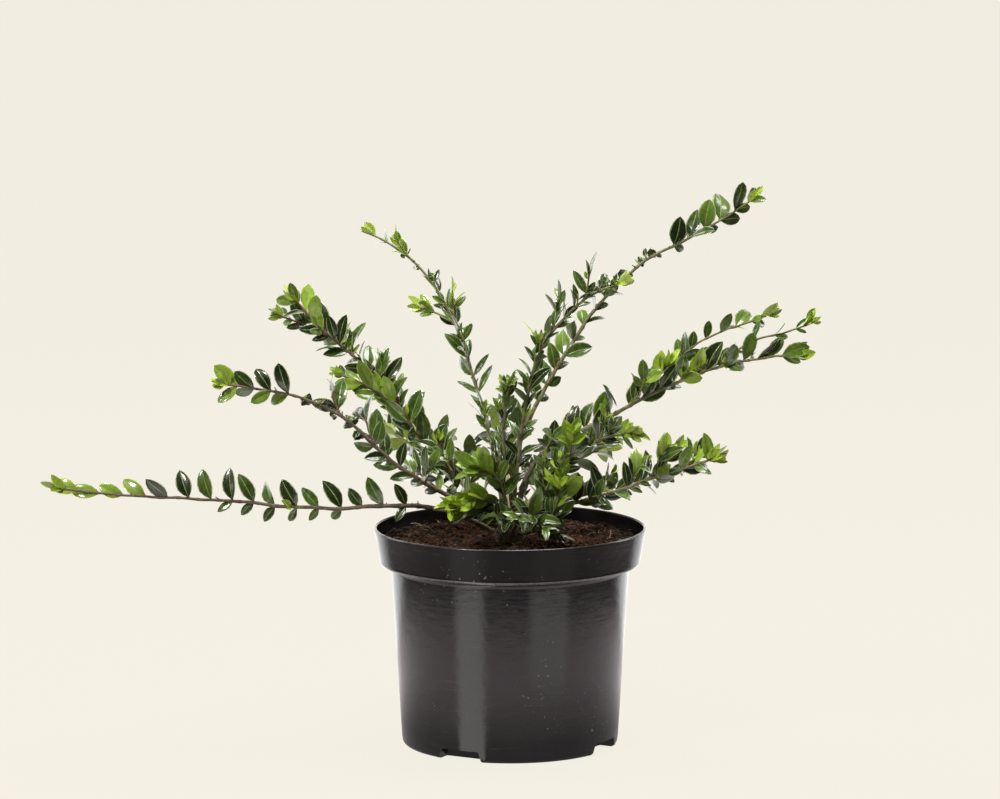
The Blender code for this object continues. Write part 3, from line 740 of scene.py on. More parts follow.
def lumpTemplate(seed):
    # a knobbly crumb of about unit size
    shape = bmesh.new()
    bmesh.ops.create_icosphere(shape, subdivisions=1, radius=0.5)
    chance = Random(seed)
    for vert in shape.verts:
        vert.co *= 1 + wobble(chance, 0.35)
    return arraysOf(shape)


def fibreTemplate(seed, steps=5):
    # a thin three-sided thread along X, with its bend kept apart from its thickness
    shape = bmesh.new()
    ring = bmesh.ops.create_circle(shape, cap_ends=True, segments=3, radius=0.5)["verts"]
    for _ in range(steps):
        ring = nextRing(shape, ring)
        bmesh.ops.translate(shape, vec=(0, 0, 1 / steps), verts=ring)
    bmesh.ops.contextual_create(shape, geom=ring)
    bmesh.ops.translate(shape, vec=(0, 0, -0.5), verts=shape.verts)
    bmesh.ops.rotate(shape, cent=(0, 0, 0), matrix=turned(90, "Y"), verts=shape.verts)
    bmesh.ops.recalc_face_normals(shape, faces=shape.faces)
    points, faces, roles = arraysOf(shape)
    chance = Random(seed)
    along = points[:, 0]
    bend = np.stack([
        0 * along, wobble(chance, 0.9) * along ** 2, wobble(chance, 0.12) * np.sin(along * 6)], 1)
    return points, faces, roles, bend


def randomTurn(chance, flatness):
    # a turn about Z and a tilt that is smaller for flat-lying bits
    tilt = (1 - flatness) * 85
    heading = turned(chance.uniform(0, 360), "Z")
    return np.array(heading @ turned(wobble(chance, tilt), "X") @ turned(wobble(chance, tilt), "Y"))


def soilSpot(chance, margin):
    limit = insideRadius(soilSizes["edgeHeight"]) - margin
    radius = limit * chance.random() ** 0.5
    turn = chance.uniform(0, 2 * pi)
    x, y = radius * cos(turn), radius * sin(turn)
    return np.array([x, y, soilTop(x, y)])


def makeCrumbs():
    chance = Random(7)
    lumps = [lumpTemplate(seed) for seed in range(9)]
    threads = [fibreTemplate(seed) for seed in range(9)]
    for name, (paint, count, smallest, largest) in crumbKinds.items():
        heap = newHeap()
        for i in range(count):
            points, faces, roles = lumps[i % len(lumps)]
            size = smallest + (largest - smallest) * chance.random() ** crumbShape["smallMost"]
            stretch = np.array([chance.uniform(*span) for span in crumbShape["stretch"]])
            spot = soilSpot(chance, crumbShape["margin"])
            placed = (points * size * stretch) @ randomTurn(chance, crumbShape["flatness"]).T
            addTo(heap, placed + spot, faces, roles)
        makePiece(name, heapMesh(heap, name), "soil", [soilMaterials[paint]], "soil")
    for name, (paint, count, shortest, longest, thick, flatness) in fibreKinds.items():
        heap = newHeap()
        for i in range(count):
            points, faces, roles, bend = threads[i % len(threads)]
            length = shortest + (longest - shortest) * chance.random() ** fibreShape["shortMost"]
            placed = points * np.array([length, thick, thick]) + bend * length
            spot = soilSpot(chance, fibreShape["margin"]) + np.array([0, 0, fibreShape["lift"]])
            addTo(heap, placed @ randomTurn(chance, flatness).T + spot, faces, roles)
        makePiece(name, heapMesh(heap, name), "soil", [soilMaterials[paint]], "soil")


makeSoil()
makeCrumbs()
print("soil made")


# Stems

foot = dict(
    radius=0.0095, centre=Vector((0, 0, 0.132)), gap=0.0003, waist=0.96, knobs=(420, 0.12),
    grain=(1300, 0.05), sink=0.002,
)
growth = dict(
    steps=240, tipRadius=0.0006, twigRadius=0.0008, tipBunch=0.020, longestLeaf=0.0215,
    leafScale=1.07, ringStep=0.0020, boughSides=10, stemSides=7, twigSides=5, faceUp=38, faceLight=0.75,
    wander=0.0010, wanderRate=55, wanderFrom=0.02, hangs=-0.4,
)

# seat: heading and tilt of its place on the foot. heading: at foot and tip. pitch: at five even
# stations. bare: share of the length with no leaves. plane: roll of the leaf pairs, 0 level and
# 90 upright. cross: how far the next pair is turned. faces: heading that the blades look to.
# leaf: blade length at the start, middle and tip. thin: stretch with tiny leaves. spurs: number of
# short seeded side twigs. under: size of leaves that hang below. forks: longer side shoots.
usualStem = dict(faces=270, wide=0.44, thin=None, under=0.85, forks=())
stems = {
    "low_left": dict(
        seat=(180, 6), heading=(186, 186), length=0.284, pitch=(33, -4, 7, 3, 10), radius=0.0016, bare=0.19,
        plane=84, cross=18, leaf=(0.014, 0.019, 0.012), spacing=0.0125, wide=0.46, spurs=0, under=0.62),
    "left": dict(
        seat=(200, 32), heading=(195, 196), length=0.210, pitch=(33, 31, 46, 15, 6), radius=0.0016,
        bare=0.28, plane=60, cross=50, leaf=(0.015, 0.018, 0.012), spacing=0.0120, wide=0.46,
        thin=(0.50, 0.76), spurs=2),
    "upper_left": dict(
        seat=(158, 36), heading=(165, 168), length=0.200, pitch=(49, 43, 57, 33, 12), radius=0.0018,
        bare=0.20, plane=45, cross=80, faces=260, leaf=(0.015, 0.017, 0.011), spacing=0.0100, spurs=6,
        forks=((0.42, 188, (38, 30, 0), 0.062), (0.70, 172, (42, 48, 30), 0.058))),
    "high_left": dict(
        seat=(140, 66), heading=(120, 166), length=0.220, pitch=(72, 70, 67, 47, 11), radius=0.0014,
        bare=0.24, plane=30, cross=85, leaf=(0.014, 0.014, 0.009), spacing=0.0125, wide=0.36,
        thin=(0.72, 0.84), spurs=3, forks=((0.56, 178, (24, 18, 5), 0.036),)),
    "middle": dict(
        seat=(235, 62), heading=(250, 300), length=0.100, pitch=(78, 82, 84, 74, 55), radius=0.0012,
        bare=0.30, plane=20, cross=85, leaf=(0.012, 0.012, 0.009), spacing=0.0090, wide=0.36, spurs=2),
    "inner_right": dict(
        seat=(300, 62), heading=(306, 362), length=0.185, pitch=(87, 81, 76, 44, 14), radius=0.0014,
        bare=0.20, plane=30, cross=85, leaf=(0.013, 0.014, 0.009), spacing=0.0100, wide=0.38, spurs=5),
    "high_right": dict(
        seat=(50, 68), heading=(392, 365), length=0.276, pitch=(100, 58, 54, 24, 37), radius=0.0017,
        bare=0.26, plane=70, cross=60, leaf=(0.013, 0.015, 0.010), spacing=0.0130, wide=0.46,
        thin=(0.58, 0.74), spurs=0, under=0.62),
    "right": dict(
        seat=(350, 52), heading=(345, 352), length=0.228, pitch=(100, 30, 29, 19, -6), radius=0.0018,
        bare=0.22, plane=62, cross=55, leaf=(0.016, 0.017, 0.011), spacing=0.0100, wide=0.46, spurs=5,
        forks=((0.50, 374, (52, 13, 21), 0.111), (0.66, 358, (36, 12, 27), 0.093))),
    "right_lower": dict(
        seat=(318, 28), heading=(316, 329), length=0.120, pitch=(43, 59, 44, 18, 3), radius=0.0013,
        bare=0.26, plane=45, cross=80, faces=280, leaf=(0.014, 0.014, 0.011), spacing=0.0090, wide=0.42,
        spurs=3),
    "low_right": dict(
        seat=(340, 8), heading=(339, 335), length=0.148, pitch=(60, 10, 24, 19, 20), radius=0.0015,
        bare=0.24, plane=60, cross=70, leaf=(0.015, 0.014, 0.011), spacing=0.0095, wide=0.42, spurs=4,
        forks=((0.60, 338, (70, 45, 60), 0.032),)),
    "front_left": dict(
        seat=(250, 30), heading=(240, 205), length=0.064, pitch=(74, 44, 8, -12, -20), radius=0.0012,
        bare=0.24, plane=10, cross=70, leaf=(0.015, 0.016, 0.013), spacing=0.0075, wide=0.40, spurs=1),
    "front_upright": dict(
        seat=(264, 48), heading=(258, 190), length=0.060, pitch=(70, 72, 54, 20, -6), radius=0.0011,
        bare=0.26, plane=0, cross=88, leaf=(0.012, 0.015, 0.012), spacing=0.0080, wide=0.40, spurs=1),
    "front": dict(
        seat=(281, 14), heading=(286, 296), length=0.066, pitch=(46, 30, 6, -14, -26), radius=0.0012,
        bare=0.22, plane=15, cross=75, leaf=(0.014, 0.016, 0.012), spacing=0.0078, wide=0.40, spurs=2),
    "front_right": dict(
        seat=(311, 6), heading=(300, 330), length=0.072, pitch=(14, 18, 56, 82, 86), radius=0.0012,
        bare=0.24, plane=20, cross=75, faces=280, leaf=(0.014, 0.015, 0.011), spacing=0.0082, wide=0.42,
        spurs=2),
    "back_left": dict(
        seat=(120, 16), heading=(118, 112), length=0.185, pitch=(44, 14, 6, 10, 14), radius=0.0015,
        bare=0.26, plane=50, cross=65, faces=100, leaf=(0.015, 0.016, 0.011), spacing=0.0115, spurs=4,
        forks=((0.55, 140, (20, 18, 16), 0.050),)),
    "back": dict(
        seat=(90, 32), heading=(94, 88), length=0.170, pitch=(52, 26, 12, 8, 12), radius=0.0015, bare=0.26,
        plane=45, cross=70, faces=90, leaf=(0.015, 0.016, 0.011), spacing=0.0115, spurs=4),
    "back_right": dict(
        seat=(64, 12), heading=(66, 68), length=0.185, pitch=(42, 12, 6, 8, 12), radius=0.0015, bare=0.26,
        plane=50, cross=65, faces=80, leaf=(0.015, 0.016, 0.011), spacing=0.0115, spurs=4,
        forks=((0.55, 48, (18, 14, 12), 0.050),)),
    "far_right": dict(
        seat=(30, 12), heading=(34, 36), length=0.145, pitch=(40, 10, 4, 8, 14), radius=0.0014, bare=0.28,
        plane=50, cross=65, faces=60, leaf=(0.014, 0.015, 0.010), spacing=0.0115, spurs=3),
}
stems = {name: {**usualStem, **row} for name, row in stems.items()}

# tufts: chance of a leafy bud beside a leaf pair. inner: leafy twigs on the bare lower part.
# fresh and young: how far the brightest and the young green leaves reach back from a tip.
# rosette: number and length of the leaves packed round a tip. lean: angle of a leaf from its
# stem, low down and near the tip. leanReach: how far back from the tip leaves close up.
# spread: stretch of the spacing. below: share of the hanging leaves that is there. outer: size
# of the leaves towards the tip. slim: width of the leaves. axial: how far blades face the tip.
# droop: whether the inner twigs hang. pale: share of light leaves near the tip. open: how far the
# outer leaves of a rosette open. ragged: how much the leaves differ. lift: how far blades turn up.
# skin: bark of the thinner wood. forks: what is different on its longer side shoots, in their order.
# sprigs: bright-tipped side twigs, each its place on the stem, heading, pitches, length.
# vigour: how leafy the tips of the seeded side twigs may be. dark: share of dark leaves near the tip.
usualDress = dict(
    tufts=0.45, inner=2, fresh=0.012, young=0.026, form="old", rosette=(8, 0.0105), lean=(54, 34),
    leanReach=0.025, spread=0.86, below=1, outer=0.90, size=1.12, slim=1, axial=0.45, droop=0, pale=0.5,
    open=34, ragged=1.4, lift=1, skin="youngBark", forks=(), sprigs=(), vigour=(0.3, 0.8), dark=0)
dress = {
    "low_left": dict(
        tufts=0.10, inner=0, fresh=0.014, young=0.072, form="oval", rosette=(4, 0.0130), lean=(54, 12),
        leanReach=0.105, spread=1.08, below=0.60, outer=1.50, size=1.00, slim=1.02, axial=0, pale=1,
        open=18, ragged=0.7, lift=0.3, skin="brownBark"),
    "left": dict(
        tufts=0.15, inner=5, fresh=0.010, young=0.060, form="oval", rosette=(8, 0.0115), lean=(50, 36),
        leanReach=0.060, spread=0.90, outer=1.35, size=1.10, slim=1.08, axial=0.15, pale=0.45, ragged=0.9,
        skin="brownBark", vigour=(0, 0), dark=0.3),
    "upper_left": dict(
        tufts=0.60, inner=2, fresh=0.006, young=0.034, form="oval", spread=0.82, outer=0.80, size=1.28,
        axial=0.25, ragged=1.2, skin="brownBark", pale=0.25, dark=0.45,
        forks=(
            dict(size=1.75, outer=1.25, lean=(30, 14), pale=0.30, young=0.05, ragged=0.8, lift=0.1,
                 slim=0.95, axial=0.1),
            dict())),
    "high_left": dict(
        tufts=0.40, inner=2, fresh=0.013, young=0.050, form="oval", rosette=(6, 0.0130), lean=(44, 26),
        leanReach=0.045, spread=0.92, outer=1.25, size=1.16, slim=0.98, axial=0.30, pale=0.45, dark=0.25),
    "middle": dict(
        tufts=0.60, inner=1, fresh=0.004, young=0.012, lean=(38, 26), size=1.20, slim=0.90, axial=0.70),
    "inner_right": dict(
        tufts=0.50, inner=1, fresh=0.006, young=0.020, lean=(40, 28), size=1.28, slim=0.92, axial=0.60),
    "high_right": dict(
        tufts=0.25, inner=1, fresh=0.008, young=0.040, form="oval", rosette=(7, 0.0115), lean=(48, 34),
        spread=0.85, outer=1.20, size=1.24, slim=1.22, axial=0.25, ragged=1.1, pale=0, dark=0.8),
    "right": dict(
        tufts=0.55, inner=1, fresh=0.012, young=0.055, form="oval", rosette=(8, 0.0120), lean=(46, 26),
        leanReach=0.05, spread=0.78, below=0.55, outer=1.45, size=1.20, slim=1.1, axial=0.20, pale=0.15,
        dark=0.4, sprigs=((0.50, 350, (52, 66, 60), 0.040), (0.66, 340, (50, 40, 20), 0.018)),
        forks=(
            dict(size=0.95, outer=0.95, rosette=(10, 0.0125), spread=1.05, below=0.5),
            dict(size=0.80, outer=0.85, slim=0.75, spread=1.35, rosette=(8, 0.0130), below=0.6,
                 ragged=1.2))),
    "right_lower": dict(
        tufts=0.60, inner=2, fresh=0.014, young=0.026, rosette=(10, 0.0135), lean=(46, 30), size=1.18),
    "low_right": dict(
        tufts=0.35, inner=2, fresh=0.015, young=0.028, rosette=(10, 0.0130), lean=(44, 28), size=1.36,
        spread=0.98, outer=1, axial=0.30),
    "front_left": dict(
        tufts=0.20, inner=1, fresh=0.038, young=0.070, form="oval", rosette=(14, 0.0170), lean=(38, 16),
        leanReach=0.060, spread=0.70, outer=1.25, size=1.25, axial=0.05, droop=1, open=26, ragged=0.9,
        lift=-0.2, pale=0.85),
    "front_upright": dict(
        tufts=0.30, inner=3, fresh=0.004, young=0.040, form="oval", rosette=(8, 0.0150), lean=(36, 18),
        leanReach=0.045, spread=0.75, outer=1.05, size=1.30, axial=0.10, droop=1, pale=0.75, ragged=0.9,
        lift=0.3),
    "front": dict(tufts=0.60, inner=7, fresh=0, young=0.004, rosette=(5, 0.0100), axial=0.30, droop=1),
    "front_right": dict(
        tufts=0.50, inner=6, fresh=0.020, young=0.030, rosette=(12, 0.0150), lean=(44, 30), size=1.10,
        axial=0.30, droop=1, open=48),
}
dress = {name: {**usualDress, **dress.get(name, {})} for name in stems}


def bentPath(start, headings, pitches, length):
    points = [Vector(start)]
    steps = growth["steps"]
    for i in range(steps):
        share = (i + 0.5) / steps
        way = direction(between(headings, share), between(pitches, share))
        points.append(points[-1] + way * (length / steps))
    return points


def alongAt(path, share):
    return (between(path, share + 0.01) - between(path, share - 0.01)).normalized()


def stemPath(row):
    seat = direction(*row["seat"])
    first = direction(row["heading"][0], row["pitch"][0])
    start = foot["centre"] + seat * (foot["radius"] + foot["gap"] + row["radius"] * sin(seat.angle(first)))
    return bentPath(start, row["heading"], row["pitch"], row["length"])


def wandered(path, length, seed):
    # small bends that a real stem has, none at its foot
    bent = []
    for i, point in enumerate(path):
        travelled = length * i / (len(path) - 1)
        where = (travelled * growth["wanderRate"], seed * 3.7)
        shift = Vector([noise.noise(Vector((*where, row))) for row in (0.5, 17.3, 31.9)])
        bent.append(point + shift * growth["wander"] * smooth(travelled / growth["wanderFrom"]))
    return bent


def stemRadius(limb, share):
    return limb["radius"] + (growth["tipRadius"] - limb["radius"]) * share


barkShape = dict(
    swelling=0.28, jointReach=0.0016,                     # thicker at the leaf joints
    ridges=2.1, knots=260, ridgeShare=0.20,
    freshReach=0.022, oldRadius=0.00145,
)


def barkOf(radius, fromTip, skin):
    # old grey bark on thick wood, green or reddish skin near a growing tip
    if fromTip < barkShape["freshReach"]:
        return barkSlots["redBark" if skin == "brownBark" else "greenBark"]
    return barkSlots["oldBark" if radius > barkShape["oldRadius"] else skin]


def newWood():
    wood = bmesh.new()
    wood.verts.layers.float_vector.new("barkPlace")
    return wood


def growTube(wood, limb, start, end, sides, seed, skin, radiusAt=stemRadius):
    # a limb drawn out ring by ring, with a swelling at every leaf joint and fine ridges
    path, length, spacing = limb["path"], limb["length"], limb["row"]["spacing"]
    place = wood.verts.layers.float_vector.get("barkPlace")
    count = max(3, round((end - start) * length / growth["ringStep"]))
    across = up.cross(alongAt(path, start))
    across = across.normalized() if across.length > 0.01 else Vector((1, 0, 0))
    ring = bmesh.ops.create_circle(wood, cap_ends=True, segments=sides, radius=0.001)["verts"]
    for i in range(count + 1):
        share = start + (end - start) * i / count
        if i:
            ring = nextRing(wood, ring)
        centre, along = between(path, share), alongAt(path, share)
        across = (across - along * across.dot(along)).normalized()
        upright = along.cross(across)
        travelled = share * length
        joint = abs((travelled / spacing + 0.5) % 1 - 0.5) * spacing
        radius = radiusAt(limb, share)
        girth = radius * (1 + barkShape["swelling"] * max(0, 1 - joint / barkShape["jointReach"]))
        bark = barkOf(radius, (1 - share) * length, skin)
        for k, vert in enumerate(ring):
            turn = 2 * pi * k / sides
            ridge = noise.noise(Vector((
                cos(turn) * barkShape["ridges"] + seed, sin(turn) * barkShape["ridges"],
                travelled * barkShape["knots"])))
            out = across * cos(turn) + upright * sin(turn)
            vert.co = centre + out * girth * (1 + barkShape["ridgeShare"] * ridge)
            vert[place] = Vector((cos(turn) * 0.0016, sin(turn) * 0.0016, travelled * 0.16 + seed))
        for vert in ring if i else ():
            for face in vert.link_faces:
                face.material_index = bark
    bmesh.ops.contextual_create(wood, geom=ring)


def makeWood(name, wood, node):
    bmesh.ops.recalc_face_normals(wood, faces=wood.faces)
    makePiece(name, meshOf(wood, name), "bark", barkMaterials, node)


# Leaves

# full: how blunt the outline is. widest: where. fold: how far the halves rise from the midrib.
# curl: how far the blade bends back from root to tip, in degrees. roll: how far the rims turn down.
leafForms = {
    "old": dict(full=0.66, widest=0.48, fold=(0.15, 0.60), curl=(-5, 45), roll=0.16),
    "oval": dict(full=0.54, widest=0.54, fold=(0.12, 0.40), curl=(5, 45), roll=0.18),
    "tip": dict(full=0.68, widest=0.52, fold=(0.30, 0.80), curl=(-45, 5), roll=0.04),
    "tiny": dict(full=0.50, widest=0.50, fold=(0.05, 0.30), curl=(230, 330), roll=0.20),
}
leafGrid = dict(
    along=(0, 0.07, 0.19, 0.36, 0.55, 0.74, 0.89, 1),
    across=(-1, -0.86, -0.46, -0.065, 0.065, 0.46, 0.86, 1),   # the upper side; one more corner lies below
    roles=(3, 0, 0, 1, 0, 0, 3, 2, 2),                         # 0 blade, 1 midrib, 2 underside, 3 rim
    keel=0.09, groove=0.035, petiole=0.13, variants=6,
)


def leafTemplate(form, seed):
    # a unit blade along X: centre holds its bent midline, across what the width is scaled by
    g, f = leafGrid, leafForms[form]
    chance = Random(seed)
    fold, curl = chance.uniform(*f["fold"]), radians(chance.uniform(*f["curl"]))
    sway, twist = wobble(chance, 0.05), radians(wobble(chance, 25))
    shape = bmesh.new()
    ring = bmesh.ops.create_circle(shape, segments=len(g["across"]) + 1, radius=1)["verts"]
    rings = [ring]
    for _ in g["along"][1:]:
        ring = nextRing(shape, ring)
        rings.append(ring)
        for k, role in enumerate(g["roles"]):
            edgeBetween(ring[k], ring[(k + 1) % len(ring)]).link_faces[0].material_index = role
    for end in (rings[0], rings[-1]):
        bmesh.ops.contextual_create(shape, geom=end)
    shape.verts.index_update()
    centre, across = np.zeros((len(shape.verts), 3)), np.zeros((len(shape.verts), 3))
    for u, ring in zip(g["along"], rings):
        half = 0.5 * sin(pi * u ** (log(0.5) / log(f["widest"]))) ** f["full"] if 0 < u < 1 else 0
        half = max(half * smooth((u - 0.03) / 0.22), g["petiole"] * 0.5 * (1 - u) + 0.015)
        bend = curl * u
        middle = (sin(bend) / curl, sway * sin(pi * u), (cos(bend) - 1) / curl)
        normal = np.array([sin(bend), 0, cos(bend)])
        for k, vert in enumerate(ring):
            v = g["across"][k] if k < len(g["across"]) else 0
            rise = fold * abs(v) - f["roll"] * abs(v) ** 3
            rise -= g["groove"] if abs(v) < 0.1 else 0
            rise -= g["keel"] if k == len(g["across"]) else 0
            level, lift = v * half, rise * half
            level, lift = (level * cos(twist * u) - lift * sin(twist * u),
                           level * sin(twist * u) + lift * cos(twist * u))
            centre[vert.index] = middle
            across[vert.index] = normal * lift + np.array([0, level, 0])
            vert.co = centre[vert.index] + across[vert.index]
    faces = list(shape.faces)
    bmesh.ops.recalc_face_normals(shape, faces=faces)
    _, faces, roles = arraysOf(shape)
    return centre, across, faces, roles


leafTemplates = {
    form: [leafTemplate(form, 10 * i + len(form)) for i in range(leafGrid["variants"])]
    for form in leafForms}

# paints of each kind of leaf: blade, midrib, underside, rim; the pale rim of old and mid leaves is partly a
# painted highlight
leafKinds = {
    "old": ("oldLeaf", "midrib", "leafUnder", "leafRimAndHighlight"),
    "mid": ("midLeaf", "midrib", "leafUnder", "leafRimAndHighlight"),
    "young": ("youngLeaf", "midrib", "youngUnder", "youngUnder"),
    "fresh": ("tipLeaf", "youngUnder", "youngUnder", "youngUnder"),
}

pairShape = dict(
    closing=1.6, settle=0.6, tipShrink=0.35, tipGap=0.6,  # as pairs crowd together at the tip
    tinySize=0.62, tinyWide=1.1, lift=0.25,
)
rosetteShape = dict(
    vigour=(0.55, 0.45), place=(0.55, 0.60), size=(0.60, 0.45), vary=(0.85, 1.15), wide=(0.36, 0.48),
    turn=137.5, roll=20, lean=(12, 8), lift=0.1, twist=30,
)
# how much single leaves differ, and how much longer they are in some clusters
leafVary = dict(
    pair=dict(size=0.16, wide=0.1, roll=14, lean=12, twist=22, lift=(-0.1, 0.25)),
    ragged=dict(size=(-0.20, 0.14), twist=28, roll=18, lean=(-11, 9), axial=0.35, longest=(0.85, 1.05)),
    clusters=60, clusterShare=0.3, tinyOld=0.7, oldMid=0.16,
)


def leafPairs(shoot, chance):
    # opposite pairs, each turned from the last, that crowd together at the tip
    row, look, length, vary = shoot["row"], shoot["look"], shoot["length"], leafVary["pair"]
    travelled = shoot["start"] * length
    pair = 0
    while travelled < length:
        share = travelled / length
        left = length - travelled
        tipShare = max(0, 1 - left / growth["tipBunch"])
        closing = smooth(pairShape["closing"] * (1 - left / look["leanReach"]))
        tiny = bool(row["thin"]) and row["thin"][0] < share < row["thin"][1]
        size = between((row["leaf"][0], row["leaf"][1], row["leaf"][1], row["leaf"][2]), share)
        size *= look["size"] * growth["leafScale"]
        outer = pairShape["tinySize"] if tiny else between((1, 1, look["outer"]), share)
        size *= (1 - pairShape["tipShrink"] * tipShare) * outer
        wide = row["wide"] * (pairShape["tinyWide"] if tiny else look["slim"])
        lean = look["lean"][0] + (look["lean"][1] - look["lean"][0]) * closing
        loose = look["ragged"] * (1 - pairShape["settle"] * closing)
        for half in (0, 180):
            yield dict(
                share=share, tiny=tiny, left=left,
                size=size * (1 + look["ragged"] * wobble(chance, vary["size"])),
                wide=wide * (1 + wobble(chance, vary["wide"])),
                roll=row["plane"] + half + (pair % 2) * row["cross"] + wobble(chance, vary["roll"]),
                lean=lean + loose * wobble(chance, vary["lean"]),
                lift=look["lift"] * (pairShape["lift"] + chance.uniform(*vary["lift"])) * (1 - closing),
                twist=look["ragged"] * wobble(chance, vary["twist"]))
        pair += 1
        travelled += row["spacing"] * look["spread"]


def rosette(shoot, chance):
    # young leaves packed round the growing tip, the innermost shortest
    look, r = shoot["look"], rosetteShape
    count, size = look["rosette"]
    count, size = round(count * shoot["vigour"]), size * (r["vigour"][0] + r["vigour"][1] * shoot["vigour"])
    for i in range(count):
        depth = 1 - i / count
        left = size * (r["place"][0] + r["place"][1] * depth)
        blade = size * (r["size"][0] + r["size"][1] * depth)
        yield dict(
            share=max(0, 1 - left / shoot["length"]), tiny=False, left=left * 0.5,
            size=blade * chance.uniform(*r["vary"]), wide=chance.uniform(*r["wide"]),
            roll=shoot["row"]["plane"] + i * r["turn"] + wobble(chance, r["roll"]),
            lean=r["lean"][0] + look["open"] * depth + wobble(chance, r["lean"][1]), lift=r["lift"],
            twist=wobble(chance, r["twist"]))


def ruffle(choice, shoot, chance):
    # makes one leaf differ from its neighbours
    look, vary = shoot["look"], leafVary["ragged"]
    ragged = look["ragged"]
    cluster = noise.noise(between(shoot["path"], choice["share"]) * leafVary["clusters"])
    choice["size"] *= 1 + ragged * chance.uniform(*vary["size"])
    choice["size"] *= 1 + leafVary["clusterShare"] * ragged * cluster
    choice["size"] = min(choice["size"], growth["longestLeaf"] * chance.uniform(*vary["longest"]))
    choice["twist"] += ragged * wobble(chance, vary["twist"])
    choice["roll"] += ragged * wobble(chance, vary["roll"])
    choice["lean"] += ragged * chance.uniform(*vary["lean"])
    choice["axial"] = min(max(look["axial"] + wobble(chance, vary["axial"]), 0), 1)


def setLeaf(shoot, choice, turn):
    # turn rolls the leaf on round the stem when its first place is taken
    row, share = shoot["row"], choice["share"]
    root, along = between(shoot["path"], share), alongAt(shoot["path"], share)
    level = along.cross(up).normalized()
    rise = level.cross(along).normalized()
    roll = radians(choice["roll"] + turn)
    out = level * cos(roll) + rise * sin(roll)
    lean = radians(choice["lean"])
    blade = (along * cos(lean) + out * sin(lean) + up * choice["lift"]).normalized()
    hangs = out.z < growth["hangs"]
    size = choice["size"] * (row["under"] if hangs else 1)
    light = direction(row["faces"], growth["faceUp"])
    face = along.cross(out)
    face = (face if face.dot(light) > 0 else -face) + light * growth["faceLight"]
    face = face.normalized() * (1 - choice["axial"]) + along * choice["axial"]
    face = (face - blade * face.dot(blade)).normalized()
    face.rotate(Matrix.Rotation(radians(choice["twist"]), 3, blade))
    side = face.cross(blade).normalized()
    return dict(
        hangs=hangs, root=root, size=size, width=size * choice["wide"],
        turn=np.array((blade, side, blade.cross(side))),
        middle=root + blade * size * 0.5, tip=root + blade * size)


# side twigs: where on the stem, how far from its heading and pitch, how long, how leafy at the tip
spurKind = dict(outermost=0.86, swing=(30, 60), rise=(5, 35), length=0.030, shorter=0.014, vary=(-0.3, 0.4))
innerKind = dict(
    span=(0.25, 0.75), swing=(25, 80), rise=(-15, 35), pitch=(15, 75), droop=(-25, 40), dip=12,
    length=(0.014, 0.030), radius=0.0008, vigour=(0, 0, 0.4), look=dict(fresh=0, young=0.006),
    row=dict(leaf=(0.010, 0.014, 0.012), wide=0.34, spacing=0.0085, under=0.9))
tuftKind = dict(
    outermost=0.92, swing=(20, 95), rise=(-10, 50), steepest=80, length=(0.004, 0.012),
    radius=0.0006, vigour=(0, 0, 0, 0.6), look={},
    row=dict(leaf=(0.008, 0.011, 0.008), wide=0.38, spacing=0.0070, under=0.9))
stubKind = dict(perMetre=70, span=(0.3, 0.85), rise=(0, 70), length=(0.002, 0.006), taper=0.4)
sprigLook = dict(fresh=0.020, outer=1)


def swung(along, kind, chance):
    # a heading to one side of the stem's own, and a pitch near its own
    heading = degrees(atan2(along.y, along.x)) + chance.choice((-1, 1)) * chance.uniform(*kind["swing"])
    return heading, degrees(asin(along.z)) + chance.uniform(*kind["rise"])


def spurTwigs(row, path, chance):
    kind, count = spurKind, row["spurs"]
    for spur in range(count):
        share = row["bare"] + (kind["outermost"] - row["bare"]) * (spur + chance.random()) / count
        heading, pitch = swung(alongAt(path, share), kind, chance)
        length = (kind["length"] - kind["shorter"] * share) * (1 + chance.uniform(*kind["vary"]))
        yield share, heading, (min(pitch, 80), min(pitch, 70) + 8, min(pitch, 70)), length


def innerTwigs(row, path, look, chance):
    # leafy twigs low on the stem, which close the heart of the plant
    first, rest = innerKind["span"]
    for twig in range(look["inner"]):
        share = row["bare"] * (first + rest * (twig + chance.random()) / look["inner"])
        heading, pitch = swung(alongAt(path, share), innerKind, chance)
        pitch = min(max(pitch, innerKind["pitch"][0]), innerKind["pitch"][1])
        if look["droop"]:
            pitch = chance.uniform(*innerKind["droop"])
        yield share, heading, (pitch, pitch, pitch - innerKind["dip"]), chance.uniform(*innerKind["length"])


def tuftTwigs(row, path, look, chance):
    # leafy buds in the joints of the leaf pairs
    joints = int(row["length"] * (tuftKind["outermost"] - row["bare"]) / row["spacing"])
    for joint in range(joints):
        if chance.random() > look["tufts"]:
            continue
        share = row["bare"] + joint * row["spacing"] / row["length"]
        heading, pitch = swung(alongAt(path, share), tuftKind, chance)
        yield share, heading, (min(tuftKind["steepest"], pitch),) * 3, chance.uniform(*tuftKind["length"])


keepOut = dict(overlap=0.17, potGap=0.0012, soilGap=0.0010, rimAbove=0.0015, turns=(0, 24, 48))
takenPlaces = []


def leafLook(choice, shoot, chance):
    # bright at growing tips, fresh green behind them, dark on older wood
    dice = chance.random()
    if choice["tiny"]:
        return ("old" if dice < leafVary["tinyOld"] else "mid"), "tiny"
    if choice["left"] < shoot["fresh"]:
        return "fresh", "tip"
    if choice["left"] < shoot["young"]:
        look = shoot["look"]
        kind = "young" if dice < look["pale"] else "old" if dice > 1 - look["dark"] else "mid"
        return kind, look["form"]
    return ("mid" if dice < leafVary["oldMid"] else "old"), "old"


